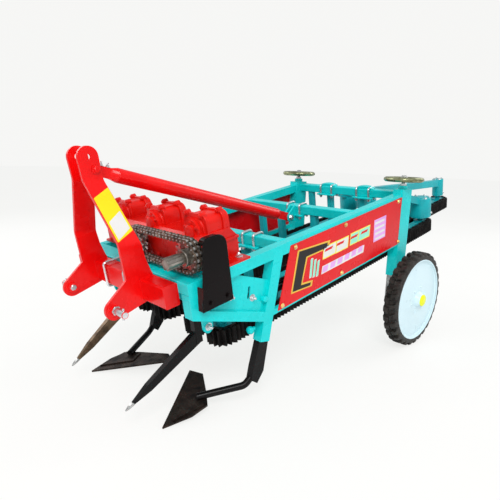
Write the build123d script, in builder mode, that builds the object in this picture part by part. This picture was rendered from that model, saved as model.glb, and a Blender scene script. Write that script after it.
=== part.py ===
from build123d import *
from math import cos, hypot, pi, radians, sin
import os

os.makedirs("parts", exist_ok=True)

# Two-row peanut harvester for a tractor's three-point hitch, in millimetres and degrees.
# The hitch is at -Y, the discharge end at +Y, and "near" is the +X side. The floor is at z = 0,
# where the shovel tips and both depth wheels rest.

# Overall frame. The frame lies in a plane that rises towards the rear.
frame_rise = 10.5
frame_front_y = -1044.0
corner_height = 503.0
frame_width = 700.0
rail_size = 40.0
tube_radius = 4.0

# Places along the rails, measured up the slope from the frame's front edge
front_beam_depth = 70.0
front_cross_s = 441.0
mid_cross_s = 887.0
rear_cross_s = 1298.0
front_post_drop = 118.0
brace_bar_front_n = -86.0
brace_bar_rear_n = -232.0
brace_bar_height = 34.0

# Raked post that carries each shovel
raked_post_width = 45.0
raked_top_s = 408.0
raked_foot_s = 288.0
raked_foot_n = -329.0

# Side panels and the rail under them
panel_thickness = 3.0
panel_top_n = -16.0
panel_bottom_n = -238.0
panel_front_top_s = 462.0
panel_front_bottom_s = 366.0
lower_rail_height = 20.0
lower_rail_width = 16.0
lower_rail_bottom_n = -246.0
gusset_thickness = 6.0
gusset_rail_end_s = 198.0
gusset_post_n = -110.0
slot_s = 250.0
slot_n = -125.0
slot_length = 46.0
slot_width = 12.0
slot_turn = 75.0

# Depth wheels, their legs and the handwheels above them
leg_inset = 21.0
leg_from_front = 1290.0
sleeve_width = 50.0
sleeve_depth = 88.0
sleeve_wall = 4.0
sleeve_below_rail = 412.0
sleeve_above_rail = 6.0
sleeve_cap = 6.0
leg_clearance = 0.3
leg_top_drop = 58.0
axle_radius = 12.0
axle_boss_radius = 26.0
tyre_radius = 231.0
tyre_width = 66.0
wheel_offset = 52.0
tyre_section = 35.0
wall_facets = 60
lug_count = 30
lug_height = 11.0
lug_share = 0.56
lug_inset = 7.0
disc_thickness = 5.0
hub_radius = 34.0
hub_stand = 18.0
disc_inset = 10.0
disc_dish = 6.0
rim_flange = 12.0
axle_end_inset = 14.0
hub_inner_inset = 12.0
wheel_running_gap = 0.1
handwheel_above_sleeve = 52.0
handwheel_radius = 79.0
handwheel_rim_radius = 10.0
spoke_width = 15.0
spoke_thickness = 8.0
handwheel_hub_radius = 18.0
handwheel_hub_height = 24.0
spoke_turn = 30.0
screw_radius = 9.0
collar_radius = 22.0
collar_height = 16.0

# Three-point hitch
mast_thickness = 10.0
mast_top_half = 37.0
mast_low_half = 159.0
mast_bend_high = 289.0
mast_bend_low = 101.0
mast_bend_radius = 30.0
hitch_pin_y = -135.0
hitch_pin_drop = 99.0
hitch_pin_radius = 11.0
hitch_pin_reach = 62.0
hitch_pin_head = 8.0
ear_radius = 33.0
top_hole_y = -148.0
top_hole_above_pin = 460.0
mast_top_radius = 34.0
top_hole_radius = 10.0
beam_inset = 54.0
beam_front_s = -52.0
beam_bottom_n = -78.0
beam_top_n = -4.0
beam_corner = 6.0
brace_eye_y = -124.0
brace_eye_above = 324.0
brace_rear_y = 838.0
brace_rear_above = 108.0
brace_radius = 25.0
brace_end_length = 66.0
brace_end_radius = 18.0
brace_flattening = 26.0
brace_end_thickness = 14.0
brace_pin_radius = 8.0
lug_plate = 8.0
fork_half = 22.0
fork_nose = 18.0
fork_root = 30.0
fork_base = 68.0
fork_base_plate = 8.0
pin_over = 10.0
u_bolt_radius = 5.0
u_bolt_gap = 0.3
u_bolt_nut_end = 20.0
u_bolt_plate = 8.0
u_bolt_plate_width = 34.0
u_bolt_plate_over = 16.0
u_bolt_from_loop = 36.0
u_bolt_sides = 10

# Gearbox, input shaft and roller chain
gear_front_s = 96.0
gear_rear_s = 262.0
gear_inset = 54.0
gear_foot_height = 8.0
gear_body_n = 108.0
gear_cover = 10.0
hump_inset = 115.0
hump_top_n = 166.0
hump_width = 108.0
hump_corner = 30.0
hump_front_s = 146.0
hump_rear_s = 240.0
boss_radius = 40.0
boss_front_s = 122.0
boss_cap_radius = 24.0
boss_cap = 8.0
drive_s = 50.0
drive_n = 68.0
sprocket_inset = 40.0
sprocket_radius = 47.0
sprocket_width = 30.0
hub_share_radius = 27.0
drive_chain_thickness = 9.0
drive_chain_width = 34.0
input_shaft_radius = 17.5
input_shaft_front_s = -38.0
guard_front_top_s = 66.0
guard_front_bottom_s = 26.0
guard_rear_s = 146.0
guard_bottom_n = -96.0
guard_top_n = 118.0
guard_corner = 24.0
guard_sheet = 3.0
guard_gap = 0.3
guard_depth = 26.0

# Clamping chains
outer_loop_inset = 72.0
loop_spacing = 132.0
clamp_front_s = 190.0
short_loop_end_s = 1684.0
long_loop_end_s = 2190.0
clamp_bottom_n = -292.0
clamp_height = 52.0
clamp_inner_radius = 37.0
clamp_band = 12.0
clamp_tooth = 14.0
clamp_pitch = 38.1
clamp_roller_gap = 0.3
guide_bar_width = 40.0
guide_bar_height = 30.0
hanger_size = 28.0
hanger_half = 14.0
hanger_foot = 10.0
front_hanger_s = 20.0
rear_housing_height = 106.0
rear_housing_gap = 14.0
arm_size = 40.0
short_housing_radius = 56.0
long_housing_radius = 33.0
spindle_radius = 15.0

# Shovels and vine lifters
blade_tip_inset = 89.0
blade_tip_y = -32.0
blade_tilt = 9.0
blade_thickness = 7.0
blade_rib = 5.0
shank_thickness = 28.0
shank_bar_radius = 13.0
shank_bend = 40.0
leg_drop_y = -24.0
leg_drop_z = -112.0
shank_seat = 158.0
bar_start_run = 34.0
bar_end_inset = 26.0
lifter_root_width = 46.0
lifter_thickness = 22.0
lifter_point = 3.0
strap_front_s = 68.0
strap_rear_s = 94.0
strap_bottom_n = -268.0
lifter_tip_inset = 32.0
lifter_tip_y = -132.0
lifter_tip_z = 80.0

half = frame_width / 2
inner_half = half - rail_size
rise_cos = cos(radians(frame_rise))
rise_sin = sin(radians(frame_rise))
sides = [("near", 1), ("far", -1)]

leg_x = half - leg_inset
beam_half = half - beam_inset
gear_half = half - gear_inset
hump_x = half - hump_inset
side_sprocket_x = half - sprocket_inset
blade_tip_x = half - blade_tip_inset
tyre_inner_x = half + wheel_offset
tyre_outer_x = tyre_inner_x + tyre_width
hub_outer_x = tyre_outer_x + hub_stand
rim_radius = tyre_radius - tyre_section
hitch_pin_z = corner_height - hitch_pin_drop
pin_inner_x = mast_low_half - mast_thickness / 2 - hitch_pin_head
top_hole_z = hitch_pin_z + top_hole_above_pin
brace_eye_z = corner_height + brace_eye_above
brace_rear_z = corner_height + brace_rear_above
rail_z_at_leg = corner_height + leg_from_front * rise_sin / rise_cos
sleeve_top_z = rail_z_at_leg + sleeve_above_rail
sleeve_bottom_z = rail_z_at_leg - sleeve_below_rail
leg_top_z = sleeve_top_z - leg_top_drop
handwheel_z = sleeve_top_z + handwheel_above_sleeve
outer_loop_x = inner_half - outer_loop_inset
inner_loop_x = outer_loop_x - loop_spacing
lifter_tip_x = outer_loop_x - lifter_tip_inset
u_bolt_x = [u_bolt_from_loop - inner_loop_x, inner_loop_x - u_bolt_from_loop]

# Each row is one clamping loop: name, x of its centre line, s of its rear sprocket, radius of the
# bearing housing there
clamp_loops = [
    ("outer_near", outer_loop_x, short_loop_end_s, short_housing_radius),
    ("inner_near", inner_loop_x, long_loop_end_s, long_housing_radius),
    ("inner_far", -inner_loop_x, short_loop_end_s, short_housing_radius),
    ("outer_far", -outer_loop_x, short_loop_end_s, short_housing_radius),
]


def side_plane(x):
    """Plane of the frame's side at x: along the slope, then square to it."""
    return Plane(origin=(x, frame_front_y, corner_height), x_dir=(0, rise_cos, rise_sin), z_dir=(1, 0, 0))


def deck_plane(n):
    """Plane parallel to the frame's top at height n: across, then up the slope."""
    return Plane(
        origin=(0, frame_front_y - n * rise_sin, corner_height + n * rise_cos),
        x_dir=(1, 0, 0),
        z_dir=(0, -rise_sin, rise_cos),
    )


def upright_plane(x):
    """Upright plane at x, measured back from the frame's front and up from the floor."""
    return Plane(origin=(x, frame_front_y, 0), x_dir=(0, 1, 0), z_dir=(1, 0, 0))


def chain_plane(s):
    """Plane square to the slope at s: across, then up square to the frame."""
    y, z = floor_point(s, 0)
    return Plane(origin=(0, frame_front_y + y, z), x_dir=(-1, 0, 0), z_dir=(0, rise_cos, rise_sin))


def slope_point(y, z):
    """Slope coordinates of a point y behind the frame's front and z above the floor."""
    drop = z - corner_height
    return (y * rise_cos + drop * rise_sin, -y * rise_sin + drop * rise_cos)


def floor_point(s, n):
    """The reverse of slope_point."""
    return (s * rise_cos - n * rise_sin, corner_height + s * rise_sin + n * rise_cos)


def upright_s(y, n):
    """How far up the slope the upright line at y crosses the height n."""
    return (y + n * rise_sin) / rise_cos


def bar_points(p, q, width):
    """Corners of a straight bar between the middles of its two ends."""
    length = hypot(q[0] - p[0], q[1] - p[1])
    across = (-(q[1] - p[1]) / length * width / 2, (q[0] - p[0]) / length * width / 2)
    return [
        (p[0] + across[0], p[1] + across[1]),
        (q[0] + across[0], q[1] + across[1]),
        (q[0] - across[0], q[1] - across[1]),
        (p[0] - across[0], p[1] - across[1]),
    ]


def on_line(p, q, s=None, n=None):
    """The point of line pq at the given s or n."""
    share = (s - p[0]) / (q[0] - p[0]) if n is None else (n - p[1]) / (q[1] - p[1])
    return (p[0] + share * (q[0] - p[0]), p[1] + share * (q[1] - p[1]))


def crossing(a, b):
    """Where two lines cross, each given by two of its points."""
    run_a = (a[1][0] - a[0][0], a[1][1] - a[0][1])
    run_b = (b[1][0] - b[0][0], b[1][1] - b[0][1])
    across = run_a[0] * run_b[1] - run_a[1] * run_b[0]
    share = ((b[0][0] - a[0][0]) * run_b[1] - (b[0][1] - a[0][1]) * run_b[0]) / across
    return (a[0][0] + share * run_a[0], a[0][1] + share * run_a[1])


sleeve_front_y = leg_from_front - sleeve_depth / 2

# Raked post: its middle line, cut flat under the rail
raked_foot = (raked_foot_s, raked_foot_n)
raked_above = on_line(raked_foot, (raked_top_s, 0.0), n=rail_size)
raked_corners = bar_points(raked_foot, raked_above, raked_post_width)
post_front_line = (raked_corners[0], raked_corners[1])
post_rear_line = (raked_corners[3], raked_corners[2])

brace_top_line = ((0.0, brace_bar_front_n), (raked_foot_s + 24, brace_bar_rear_n + 12))

# Side frames: top rail, front post, sloping brace bar, raked post and lower rail, one weldment a side
for side, sign in sides:
    inner_x = inner_half if sign > 0 else -half
    with BuildPart() as side_frame:
        with BuildSketch(side_plane(inner_x)):
            with BuildLine():
                Polyline(
                    (front_beam_depth, 0),
                    (upright_s(sleeve_front_y, 0), 0),
                    (upright_s(sleeve_front_y, -rail_size), -rail_size),
                    (front_beam_depth, -rail_size),
                    close=True,
                )
            make_face()
            with BuildLine():
                Polyline(
                    (0, -rail_size),
                    (rail_size, -rail_size),
                    (rail_size, -front_post_drop),
                    (0, -front_post_drop),
                    close=True,
                )
            make_face()
            with BuildLine():
                Polyline(
                    on_line(*post_front_line, n=-rail_size / 2),
                    post_front_line[0],
                    post_rear_line[0],
                    on_line(*post_rear_line, n=-rail_size / 2),
                    close=True,
                )
            make_face()
            with BuildLine():
                brace_drop = brace_top_line[1][1] - brace_bar_height
                Polyline(
                    brace_top_line[0],
                    brace_top_line[1],
                    (brace_top_line[1][0] - brace_bar_height / 3, brace_drop),
                    (0, brace_bar_front_n - brace_bar_height),
                    close=True,
                )
            make_face()
        extrude(amount=rail_size)
        rail_outer_x = half if sign > 0 else -half
        lower_inner_x = half - lower_rail_width if sign > 0 else -half
        lower_top_n = lower_rail_bottom_n + lower_rail_height
        with BuildSketch(side_plane(lower_inner_x)):
            with BuildLine():
                Polyline(
                    on_line(*post_rear_line, n=lower_top_n),
                    (upright_s(sleeve_front_y, lower_top_n), lower_top_n),
                    (upright_s(sleeve_front_y, lower_rail_bottom_n), lower_rail_bottom_n),
                    on_line(*post_rear_line, n=lower_rail_bottom_n),
                    close=True,
                )
            make_face()
        extrude(amount=lower_rail_width)
    side_frame.part.label = "side_frame_" + side
    export_step(side_frame.part, "parts/side_frame_" + side + ".step")

# Gussets: a plate let into the corner between rail, raked post and brace bar
for side, sign in sides:
    plate_x = half - rail_size / 2 if sign > 0 else -half + rail_size / 2 - gusset_thickness
    with BuildPart() as gusset:
        with BuildSketch(side_plane(plate_x)):
            with BuildLine():
                Polyline(
                    (rail_size, -rail_size),
                    (gusset_rail_end_s, -rail_size),
                    on_line(*post_front_line, n=gusset_post_n),
                    crossing(post_front_line, brace_top_line),
                    on_line(*brace_top_line, s=rail_size),
                    close=True,
                )
            make_face()
            with Locations((slot_s, slot_n)):
                SlotOverall(slot_length, slot_width, rotation=slot_turn, mode=Mode.SUBTRACT)
        extrude(amount=gusset_thickness)
    gusset.part.label = "gusset_" + side
    export_step(gusset.part, "parts/gusset_" + side + ".step")

# Front beam across the frame
with BuildPart() as front_beam:
    with BuildSketch(side_plane(-half)):
        with Locations((front_beam_depth / 2, -rail_size / 2)):
            RectangleRounded(front_beam_depth, rail_size, tube_radius)
    extrude(amount=frame_width)
front_beam.part.label = "front_beam"
export_step(front_beam.part, "parts/front_beam.step")

# Cross tubes: name, s of the front face, x where each end meets its rail or sleeve
cross_tubes = [
    ("front_cross_tube", front_cross_s, inner_half),
    ("mid_cross_tube", mid_cross_s, inner_half),
    ("rear_cross_tube", rear_cross_s, leg_x - sleeve_width / 2),
]
for name, front_s, end_x in cross_tubes:
    with BuildPart() as cross_tube:
        with BuildSketch(side_plane(-end_x)):
            with Locations((front_s + rail_size / 2, -rail_size / 2)):
                RectangleRounded(rail_size, rail_size, tube_radius)
        extrude(amount=2 * end_x)
    cross_tube.part.label = name
    export_step(cross_tube.part, "parts/" + name + ".step")

# Side panels, outside the rails
for side, sign in sides:
    panel_x = half if sign > 0 else -half - panel_thickness
    panel_rear_y = sleeve_front_y - 1
    with BuildPart() as panel:
        with BuildSketch(side_plane(panel_x)):
            with BuildLine():
                Polyline(
                    (panel_front_top_s, panel_top_n),
                    (upright_s(panel_rear_y, panel_top_n), panel_top_n),
                    (upright_s(panel_rear_y, panel_bottom_n), panel_bottom_n),
                    (panel_front_bottom_s, panel_bottom_n),
                    close=True,
                )
            make_face()
        extrude(amount=panel_thickness)
    panel.part.label = "side_panel_" + side
    export_step(panel.part, "parts/side_panel_" + side + ".step")

# Leg sleeves: upright rectangular tubes with a capped top
for side, sign in sides:
    centre = (sign * leg_x, frame_front_y + leg_from_front)
    with BuildPart() as sleeve:
        with BuildSketch(Plane.XY.offset(sleeve_bottom_z)):
            with Locations(centre):
                Rectangle(sleeve_width, sleeve_depth)
                Rectangle(
                    sleeve_width - 2 * sleeve_wall, sleeve_depth - 2 * sleeve_wall, mode=Mode.SUBTRACT
                )
        extrude(amount=sleeve_top_z - sleeve_bottom_z)
        with BuildSketch(Plane.XY.offset(sleeve_top_z)):
            with Locations(centre):
                Rectangle(sleeve_width, sleeve_depth)
        extrude(amount=sleeve_cap)
        with BuildSketch(Plane.XY.offset(sleeve_top_z + sleeve_cap)):
            with Locations(centre):
                Circle(collar_radius)
        extrude(amount=collar_height)
    sleeve.part.label = "leg_sleeve_" + side
    export_step(sleeve.part, "parts/leg_sleeve_" + side + ".step")

# Handwheels on their screws
for side, sign in sides:
    centre = (sign * leg_x, frame_front_y + leg_from_front)
    collar_top = sleeve_top_z + sleeve_cap + collar_height
    with BuildPart() as handwheel:
        with BuildSketch(Plane.XY.offset(collar_top)):
            with Locations(centre):
                Circle(screw_radius)
        extrude(amount=handwheel_z - collar_top)
        with BuildSketch(Plane.XY.offset(handwheel_z - handwheel_hub_height / 2)):
            with Locations(centre):
                Circle(handwheel_hub_radius)
        extrude(amount=handwheel_hub_height)
        with BuildSketch(Plane.XY.offset(handwheel_z - spoke_thickness / 2)):
            with Locations(centre):
                with PolarLocations(handwheel_radius / 2, 3, start_angle=spoke_turn):
                    Rectangle(handwheel_radius, spoke_width)
        extrude(amount=spoke_thickness)
        rim_plane = Plane(origin=(centre[0], centre[1], handwheel_z), x_dir=(1, 0, 0), z_dir=(0, -1, 0))
        with BuildSketch(rim_plane):
            with Locations((handwheel_radius, 0)):
                RegularPolygon(handwheel_rim_radius, 8, rotation=22.5)
        revolve(axis=Axis((centre[0], centre[1], handwheel_z), (0, 0, 1)))
    handwheel.part.label = "handwheel_" + side
    export_step(handwheel.part, "parts/handwheel_" + side + ".step")

# Legs that slide in the sleeves, with the stub axle at the foot
for side, sign in sides:
    centre = (sign * leg_x, frame_front_y + leg_from_front)
    bore_width = sleeve_width - 2 * sleeve_wall
    bore_depth = sleeve_depth - 2 * sleeve_wall
    leg_width = bore_width - 2 * leg_clearance
    leg_bottom_z = tyre_radius - axle_boss_radius
    with BuildPart() as leg:
        with BuildSketch(Plane.XY.offset(leg_bottom_z)):
            with Locations(centre):
                Rectangle(leg_width, bore_depth - 2 * leg_clearance)
        extrude(amount=leg_top_z - leg_bottom_z)
        axle_plane = Plane(
            origin=(sign * (leg_x + leg_width / 2), centre[1], tyre_radius), z_dir=(sign, 0, 0)
        )
        with BuildSketch(axle_plane):
            Circle(axle_boss_radius)
        extrude(amount=tyre_inner_x - leg_x - leg_width / 2 + 8)
        with BuildSketch(axle_plane):
            Circle(axle_radius)
        extrude(amount=hub_outer_x - leg_x - leg_width / 2 - axle_end_inset)
    leg.part.label = "wheel_leg_" + side
    export_step(leg.part, "parts/wheel_leg_" + side + ".step")

# Tyres: a rubber ring whose sides are faceted, with a band of lugs round it
tread_width = tyre_width - 2 * lug_inset
lug_turn = 360 / lug_count
for side, sign in sides:
    wheel_centre = (0, frame_front_y + leg_from_front, tyre_radius)
    wall_x = tyre_inner_x if sign > 0 else -tyre_outer_x
    wall_plane = Plane(origin=(wall_x, *wheel_centre[1:]), x_dir=(0, 1, 0), z_dir=(1, 0, 0))
    lug_outline = []
    for index in range(lug_count):
        for share, radius in (
            (0.0, tyre_radius - lug_height),
            (1 - lug_share, tyre_radius - lug_height),
            (1 - lug_share, tyre_radius),
            (1.0, tyre_radius),
        ):
            turn = radians((index + share - 0.5 + lug_share / 2) * lug_turn - 90)
            lug_outline.append((radius * cos(turn), radius * sin(turn)))
    with BuildPart() as tyre:
        with BuildSketch(wall_plane):
            RegularPolygon(tyre_radius - lug_height, wall_facets)
            Circle(rim_radius, mode=Mode.SUBTRACT)
        extrude(amount=tyre_width)
        with BuildSketch(wall_plane.offset(lug_inset)):
            with BuildLine():
                Polyline(*lug_outline, close=True)
            make_face()
            Circle(rim_radius, mode=Mode.SUBTRACT)
        extrude(amount=tread_width)
    tyre.part.label = "tyre_" + side
    export_step(tyre.part, "parts/tyre_" + side + ".step")

# Wheel discs: a dished pressing with a rim flange and the hub barrel
for side, sign in sides:
    wheel_centre = (0, frame_front_y + leg_from_front, tyre_radius)
    wheel_plane = Plane(origin=wheel_centre, x_dir=(1, 0, 0), z_dir=(0, -1, 0))
    disc_x = tyre_outer_x - disc_inset
    with BuildPart() as disc:
        with BuildSketch(wheel_plane):
            with BuildLine():
                Polyline(
                    (sign * (tyre_inner_x + 4), rim_radius),
                    (sign * (tyre_outer_x + 1), rim_radius),
                    (sign * disc_x, rim_radius - rim_flange),
                    (sign * (disc_x + disc_dish), hub_radius + 6),
                    (sign * hub_outer_x, hub_radius - 6),
                    (sign * hub_outer_x, axle_radius + wheel_running_gap),
                    (sign * (tyre_inner_x + hub_inner_inset), axle_radius + wheel_running_gap),
                    (sign * (tyre_inner_x + hub_inner_inset), hub_radius - 8),
                    (sign * (disc_x - 1), hub_radius + 2),
                    (sign * (disc_x - disc_thickness), rim_radius - 18),
                    (sign * (tyre_inner_x + 4), rim_radius - disc_thickness),
                    close=True,
                )
            make_face()
        revolve(axis=Axis((0, frame_front_y + leg_from_front, tyre_radius), (1, 0, 0)))
    disc.part.label = "wheel_disc_" + side
    export_step(disc.part, "parts/wheel_disc_" + side + ".step")

# Hitch mast plates: each is bent twice across its width and carries a lower hitch pin
beam_corners = [
    floor_point(beam_front_s, beam_top_n),
    floor_point(0, beam_top_n),
    floor_point(0, beam_bottom_n),
    floor_point(beam_front_s, beam_bottom_n),
]
for side, sign in sides:
    with BuildPart() as mast:
        with BuildSketch(upright_plane(-half)):
            with BuildLine():
                Polyline(
                    (top_hole_y - mast_top_radius, top_hole_z - 5),
                    (top_hole_y + mast_top_radius, top_hole_z + 5),
                    (-105, corner_height + 310),
                    (-39, corner_height + 91),
                    (-27, corner_height + 50),
                    (-8, corner_height + 9),
                    (0, corner_height - 5),
                    (0, corner_height - 83),
                    (hitch_pin_y + 12, hitch_pin_z - ear_radius + 2),
                    (hitch_pin_y - 23, hitch_pin_z + 24),
                    (-96, corner_height - 12),
                    (-112, corner_height + 65),
                    (-120, corner_height + 108),
                    (-167, corner_height + 289),
                    close=True,
                )
            make_face()
            with Locations((top_hole_y, top_hole_z)):
                Circle(mast_top_radius)
            with Locations((hitch_pin_y, hitch_pin_z)):
                Circle(ear_radius)
            with Locations((top_hole_y, top_hole_z)):
                Circle(top_hole_radius, mode=Mode.SUBTRACT)
            with Locations((brace_eye_y, brace_eye_z)):
                Circle(brace_pin_radius + u_bolt_gap, mode=Mode.SUBTRACT)
            with BuildLine():
                Polyline(*beam_corners, close=True)
            make_face(mode=Mode.SUBTRACT)
        extrude(amount=frame_width)
        with BuildSketch(Plane.XZ.offset(-frame_front_y - 100)):
            with BuildLine():
                bend = FilletPolyline(
                    (sign * mast_low_half, hitch_pin_z - 2 * ear_radius),
                    (sign * mast_low_half, corner_height + mast_bend_low),
                    (sign * mast_top_half, corner_height + mast_bend_high),
                    (sign * mast_top_half, top_hole_z + 2 * ear_radius),
                    radius=mast_bend_radius,
                )
                offset(bend, amount=mast_thickness / 2, side=Side.BOTH)
            make_face()
        extrude(amount=-400, both=True, mode=Mode.INTERSECT)
        pin_plane = Plane(
            origin=(sign * pin_inner_x, frame_front_y + hitch_pin_y, hitch_pin_z),
            z_dir=(sign, 0, 0),
        )
        with BuildSketch(pin_plane):
            Circle(hitch_pin_radius)
        extrude(amount=mast_thickness + hitch_pin_head + hitch_pin_reach)
        with BuildSketch(pin_plane):
            Circle(hitch_pin_radius + 7)
        extrude(amount=8)
        with BuildSketch(pin_plane.offset(mast_thickness + 8)):
            Circle(hitch_pin_radius + 5)
        extrude(amount=6)
    mast.part.label = "mast_plate_" + side
    export_step(mast.part, "parts/mast_plate_" + side + ".step")

# Hitch box beam, clamped to the front of the frame
with BuildPart() as hitch_beam:
    with BuildSketch(side_plane(-beam_half)):
        with Locations((beam_front_s / 2, (beam_top_n + beam_bottom_n) / 2)):
            RectangleRounded(-beam_front_s, beam_top_n - beam_bottom_n, beam_corner)
    extrude(amount=2 * beam_half)
hitch_beam.part.label = "hitch_beam"
export_step(hitch_beam.part, "parts/hitch_beam.step")

# U-bolts that hold the hitch beam to the front beam: one open hoop each, with a plate behind
hoop = u_bolt_radius + u_bolt_gap
with BuildPart() as hitch_bolts:
    nut_end_s = front_beam_depth + u_bolt_nut_end
    for bolt_x in u_bolt_x:
        with BuildLine(side_plane(bolt_x)):
            FilletPolyline(
                (nut_end_s, hoop),
                (beam_front_s - hoop, hoop),
                (beam_front_s - hoop, beam_bottom_n - hoop),
                (nut_end_s, beam_bottom_n - hoop),
                radius=2 * u_bolt_radius,
            )
        with BuildSketch(
            Plane(
                origin=side_plane(bolt_x).from_local_coords((nut_end_s, hoop)),
                z_dir=side_plane(0).x_dir,
            )
        ):
            RegularPolygon(u_bolt_radius, u_bolt_sides)
        sweep()
        with BuildSketch(side_plane(bolt_x - u_bolt_plate_width / 2)):
            with Locations((front_beam_depth + u_bolt_gap + u_bolt_plate / 2, beam_bottom_n / 2)):
                Rectangle(u_bolt_plate, -beam_bottom_n + 2 * u_bolt_plate_over)
        extrude(amount=u_bolt_plate_width)
hitch_bolts.part.label = "hitch_u_bolts"
export_step(hitch_bolts.part, "parts/hitch_u_bolts.step")

# Brace tube from the top of the mast to the middle cross tube, with flattened ends
brace_length = hypot(brace_rear_y - brace_eye_y, brace_rear_z - brace_eye_z)
brace_dir = ((brace_rear_y - brace_eye_y) / brace_length, (brace_rear_z - brace_eye_z) / brace_length)
brace_plane = Plane(
    origin=(0, frame_front_y + brace_eye_y, brace_eye_z),
    x_dir=(0, -brace_dir[1], brace_dir[0]),
    z_dir=(0, brace_dir[0], brace_dir[1]),
)
with BuildPart() as brace:
    with BuildSketch(brace_plane.offset(brace_end_length + brace_flattening)):
        Circle(brace_radius)
    extrude(amount=brace_length - 2 * (brace_end_length + brace_flattening))
    for start, grow in (
        (brace_end_length, brace_flattening),
        (brace_length - brace_end_length, -brace_flattening),
    ):
        with BuildSketch(brace_plane.offset(start)):
            Rectangle(2 * brace_end_radius, brace_end_thickness)
        with BuildSketch(brace_plane.offset(start + grow)):
            Circle(brace_radius)
        loft()
    brace_side = Plane(
        origin=(-brace_end_thickness / 2, frame_front_y + brace_eye_y, brace_eye_z),
        x_dir=(0, brace_dir[0], brace_dir[1]),
        z_dir=(1, 0, 0),
    )
    with BuildSketch(brace_side):
        for middle, eye in ((brace_end_length / 2, 0), (brace_length - brace_end_length / 2, brace_length)):
            with Locations((middle, 0)):
                Rectangle(brace_end_length, 2 * brace_end_radius)
            with Locations((eye, 0)):
                Circle(brace_end_radius)
        for eye in (0, brace_length):
            with Locations((eye, 0)):
                Circle(brace_pin_radius + u_bolt_gap, mode=Mode.SUBTRACT)
    extrude(amount=brace_end_thickness)
brace.part.label = "brace_tube"
export_step(brace.part, "parts/brace_tube.step")

# Brace fittings: the pins through its two eyes, and the forked bracket on the middle cross tube
pin_ends = [
    (brace_eye_y, brace_eye_z, mast_top_half + mast_thickness / 2),
    (brace_rear_y, brace_rear_z, brace_end_thickness / 2 + 1 + lug_plate),
]
with BuildPart() as brace_fittings:
    eye = slope_point(brace_rear_y, brace_rear_z)
    for lug_x in (-brace_end_thickness / 2 - 1 - lug_plate, brace_end_thickness / 2 + 1):
        with BuildSketch(side_plane(lug_x)):
            with BuildLine():
                Polyline(
                    (eye[0] - fork_nose, eye[1] + fork_half),
                    (mid_cross_s - fork_base_plate, 6),
                    (mid_cross_s - fork_base_plate, eye[1] - fork_root),
                    (eye[0] - fork_nose, eye[1] - fork_half),
                    close=True,
                )
            make_face()
            with Locations(eye):
                Circle(brace_pin_radius + u_bolt_gap, mode=Mode.SUBTRACT)
        extrude(amount=lug_plate)
    for pin_y, pin_z, reach in pin_ends:
        with BuildSketch(Plane(origin=(-reach - pin_over, frame_front_y + pin_y, pin_z), z_dir=(1, 0, 0))):
            Circle(brace_pin_radius)
        extrude(amount=2 * (reach + pin_over))
    with BuildSketch(side_plane(-fork_base / 2)):
        with Locations((mid_cross_s - fork_base_plate / 2, (eye[1] - fork_root) / 2)):
            Rectangle(fork_base_plate, fork_root - eye[1])
    extrude(amount=fork_base)
brace_fittings.part.label = "brace_fittings"
export_step(brace_fittings.part, "parts/brace_fittings.step")

# Gearbox: a cast beam with three humps and two feet that stand on the rails
with BuildPart() as gearbox:
    with BuildSketch(side_plane(-gear_half)):
        with BuildLine():
            Polyline(
                (gear_front_s, 0),
                (gear_front_s, gear_body_n - 20),
                (gear_front_s + 26, gear_body_n),
                (gear_rear_s - 30, gear_body_n),
                (gear_rear_s, gear_body_n - 34),
                (gear_rear_s, 0),
                close=True,
            )
        make_face()
    extrude(amount=2 * gear_half)
    with BuildSketch(side_plane(-half)):
        with Locations(((gear_front_s + gear_rear_s) / 2, gear_foot_height / 2)):
            Rectangle(gear_rear_s - gear_front_s, gear_foot_height)
    extrude(amount=frame_width)
    with BuildSketch(side_plane(-gear_half)):
        with Locations((gear_front_s - gear_cover / 2, gear_body_n / 2 - 6)):
            Rectangle(gear_cover, gear_body_n - 40)
    extrude(amount=2 * gear_half)
    for middle_x in (-hump_x, 0, hump_x):
        for start_s, end_s, width, corner in (
            (hump_front_s, hump_rear_s, hump_width, hump_corner),
            (hump_front_s - 14, hump_rear_s + 8, hump_width - 22, hump_corner - 4),
        ):
            top_n = hump_top_n - (hump_width - width) / 2
            with BuildSketch(chain_plane(start_s)):
                with Locations((-middle_x, top_n / 2)):
                    RectangleRounded(width, top_n, corner)
            extrude(amount=end_s - start_s)
        boss_n = hump_top_n - boss_radius - 12
        for start_s, radius in ((boss_front_s, boss_radius), (boss_front_s - boss_cap, boss_cap_radius)):
            with BuildSketch(chain_plane(start_s)):
                with Locations((-middle_x, boss_n)):
                    Circle(radius)
            extrude(amount=hump_front_s - start_s)
gearbox.part.label = "gearbox_housing"
export_step(gearbox.part, "parts/gearbox_housing.step")

# Input shaft with its double sprocket, and the middle sprocket that it drives
for name, shaft_x, shaft_front in (
    ("input_shaft", side_sprocket_x, input_shaft_front_s),
    ("middle_sprocket", 0.0, drive_s - sprocket_width / 2 - 8),
):
    with BuildPart() as shaft:
        with BuildSketch(chain_plane(shaft_front)):
            with Locations((-shaft_x, drive_n)):
                Circle(input_shaft_radius)
        extrude(amount=gear_front_s - gear_cover - shaft_front)
        with BuildSketch(chain_plane(drive_s - sprocket_width / 2)):
            with Locations((-shaft_x, drive_n)):
                Circle(sprocket_radius)
        extrude(amount=sprocket_width)
        with BuildSketch(chain_plane(drive_s - sprocket_width / 2 - 10)):
            with Locations((-shaft_x, drive_n)):
                Circle(hub_share_radius)
        extrude(amount=10)
    shaft.part.label = name
    export_step(shaft.part, "parts/" + name + ".step")

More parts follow.
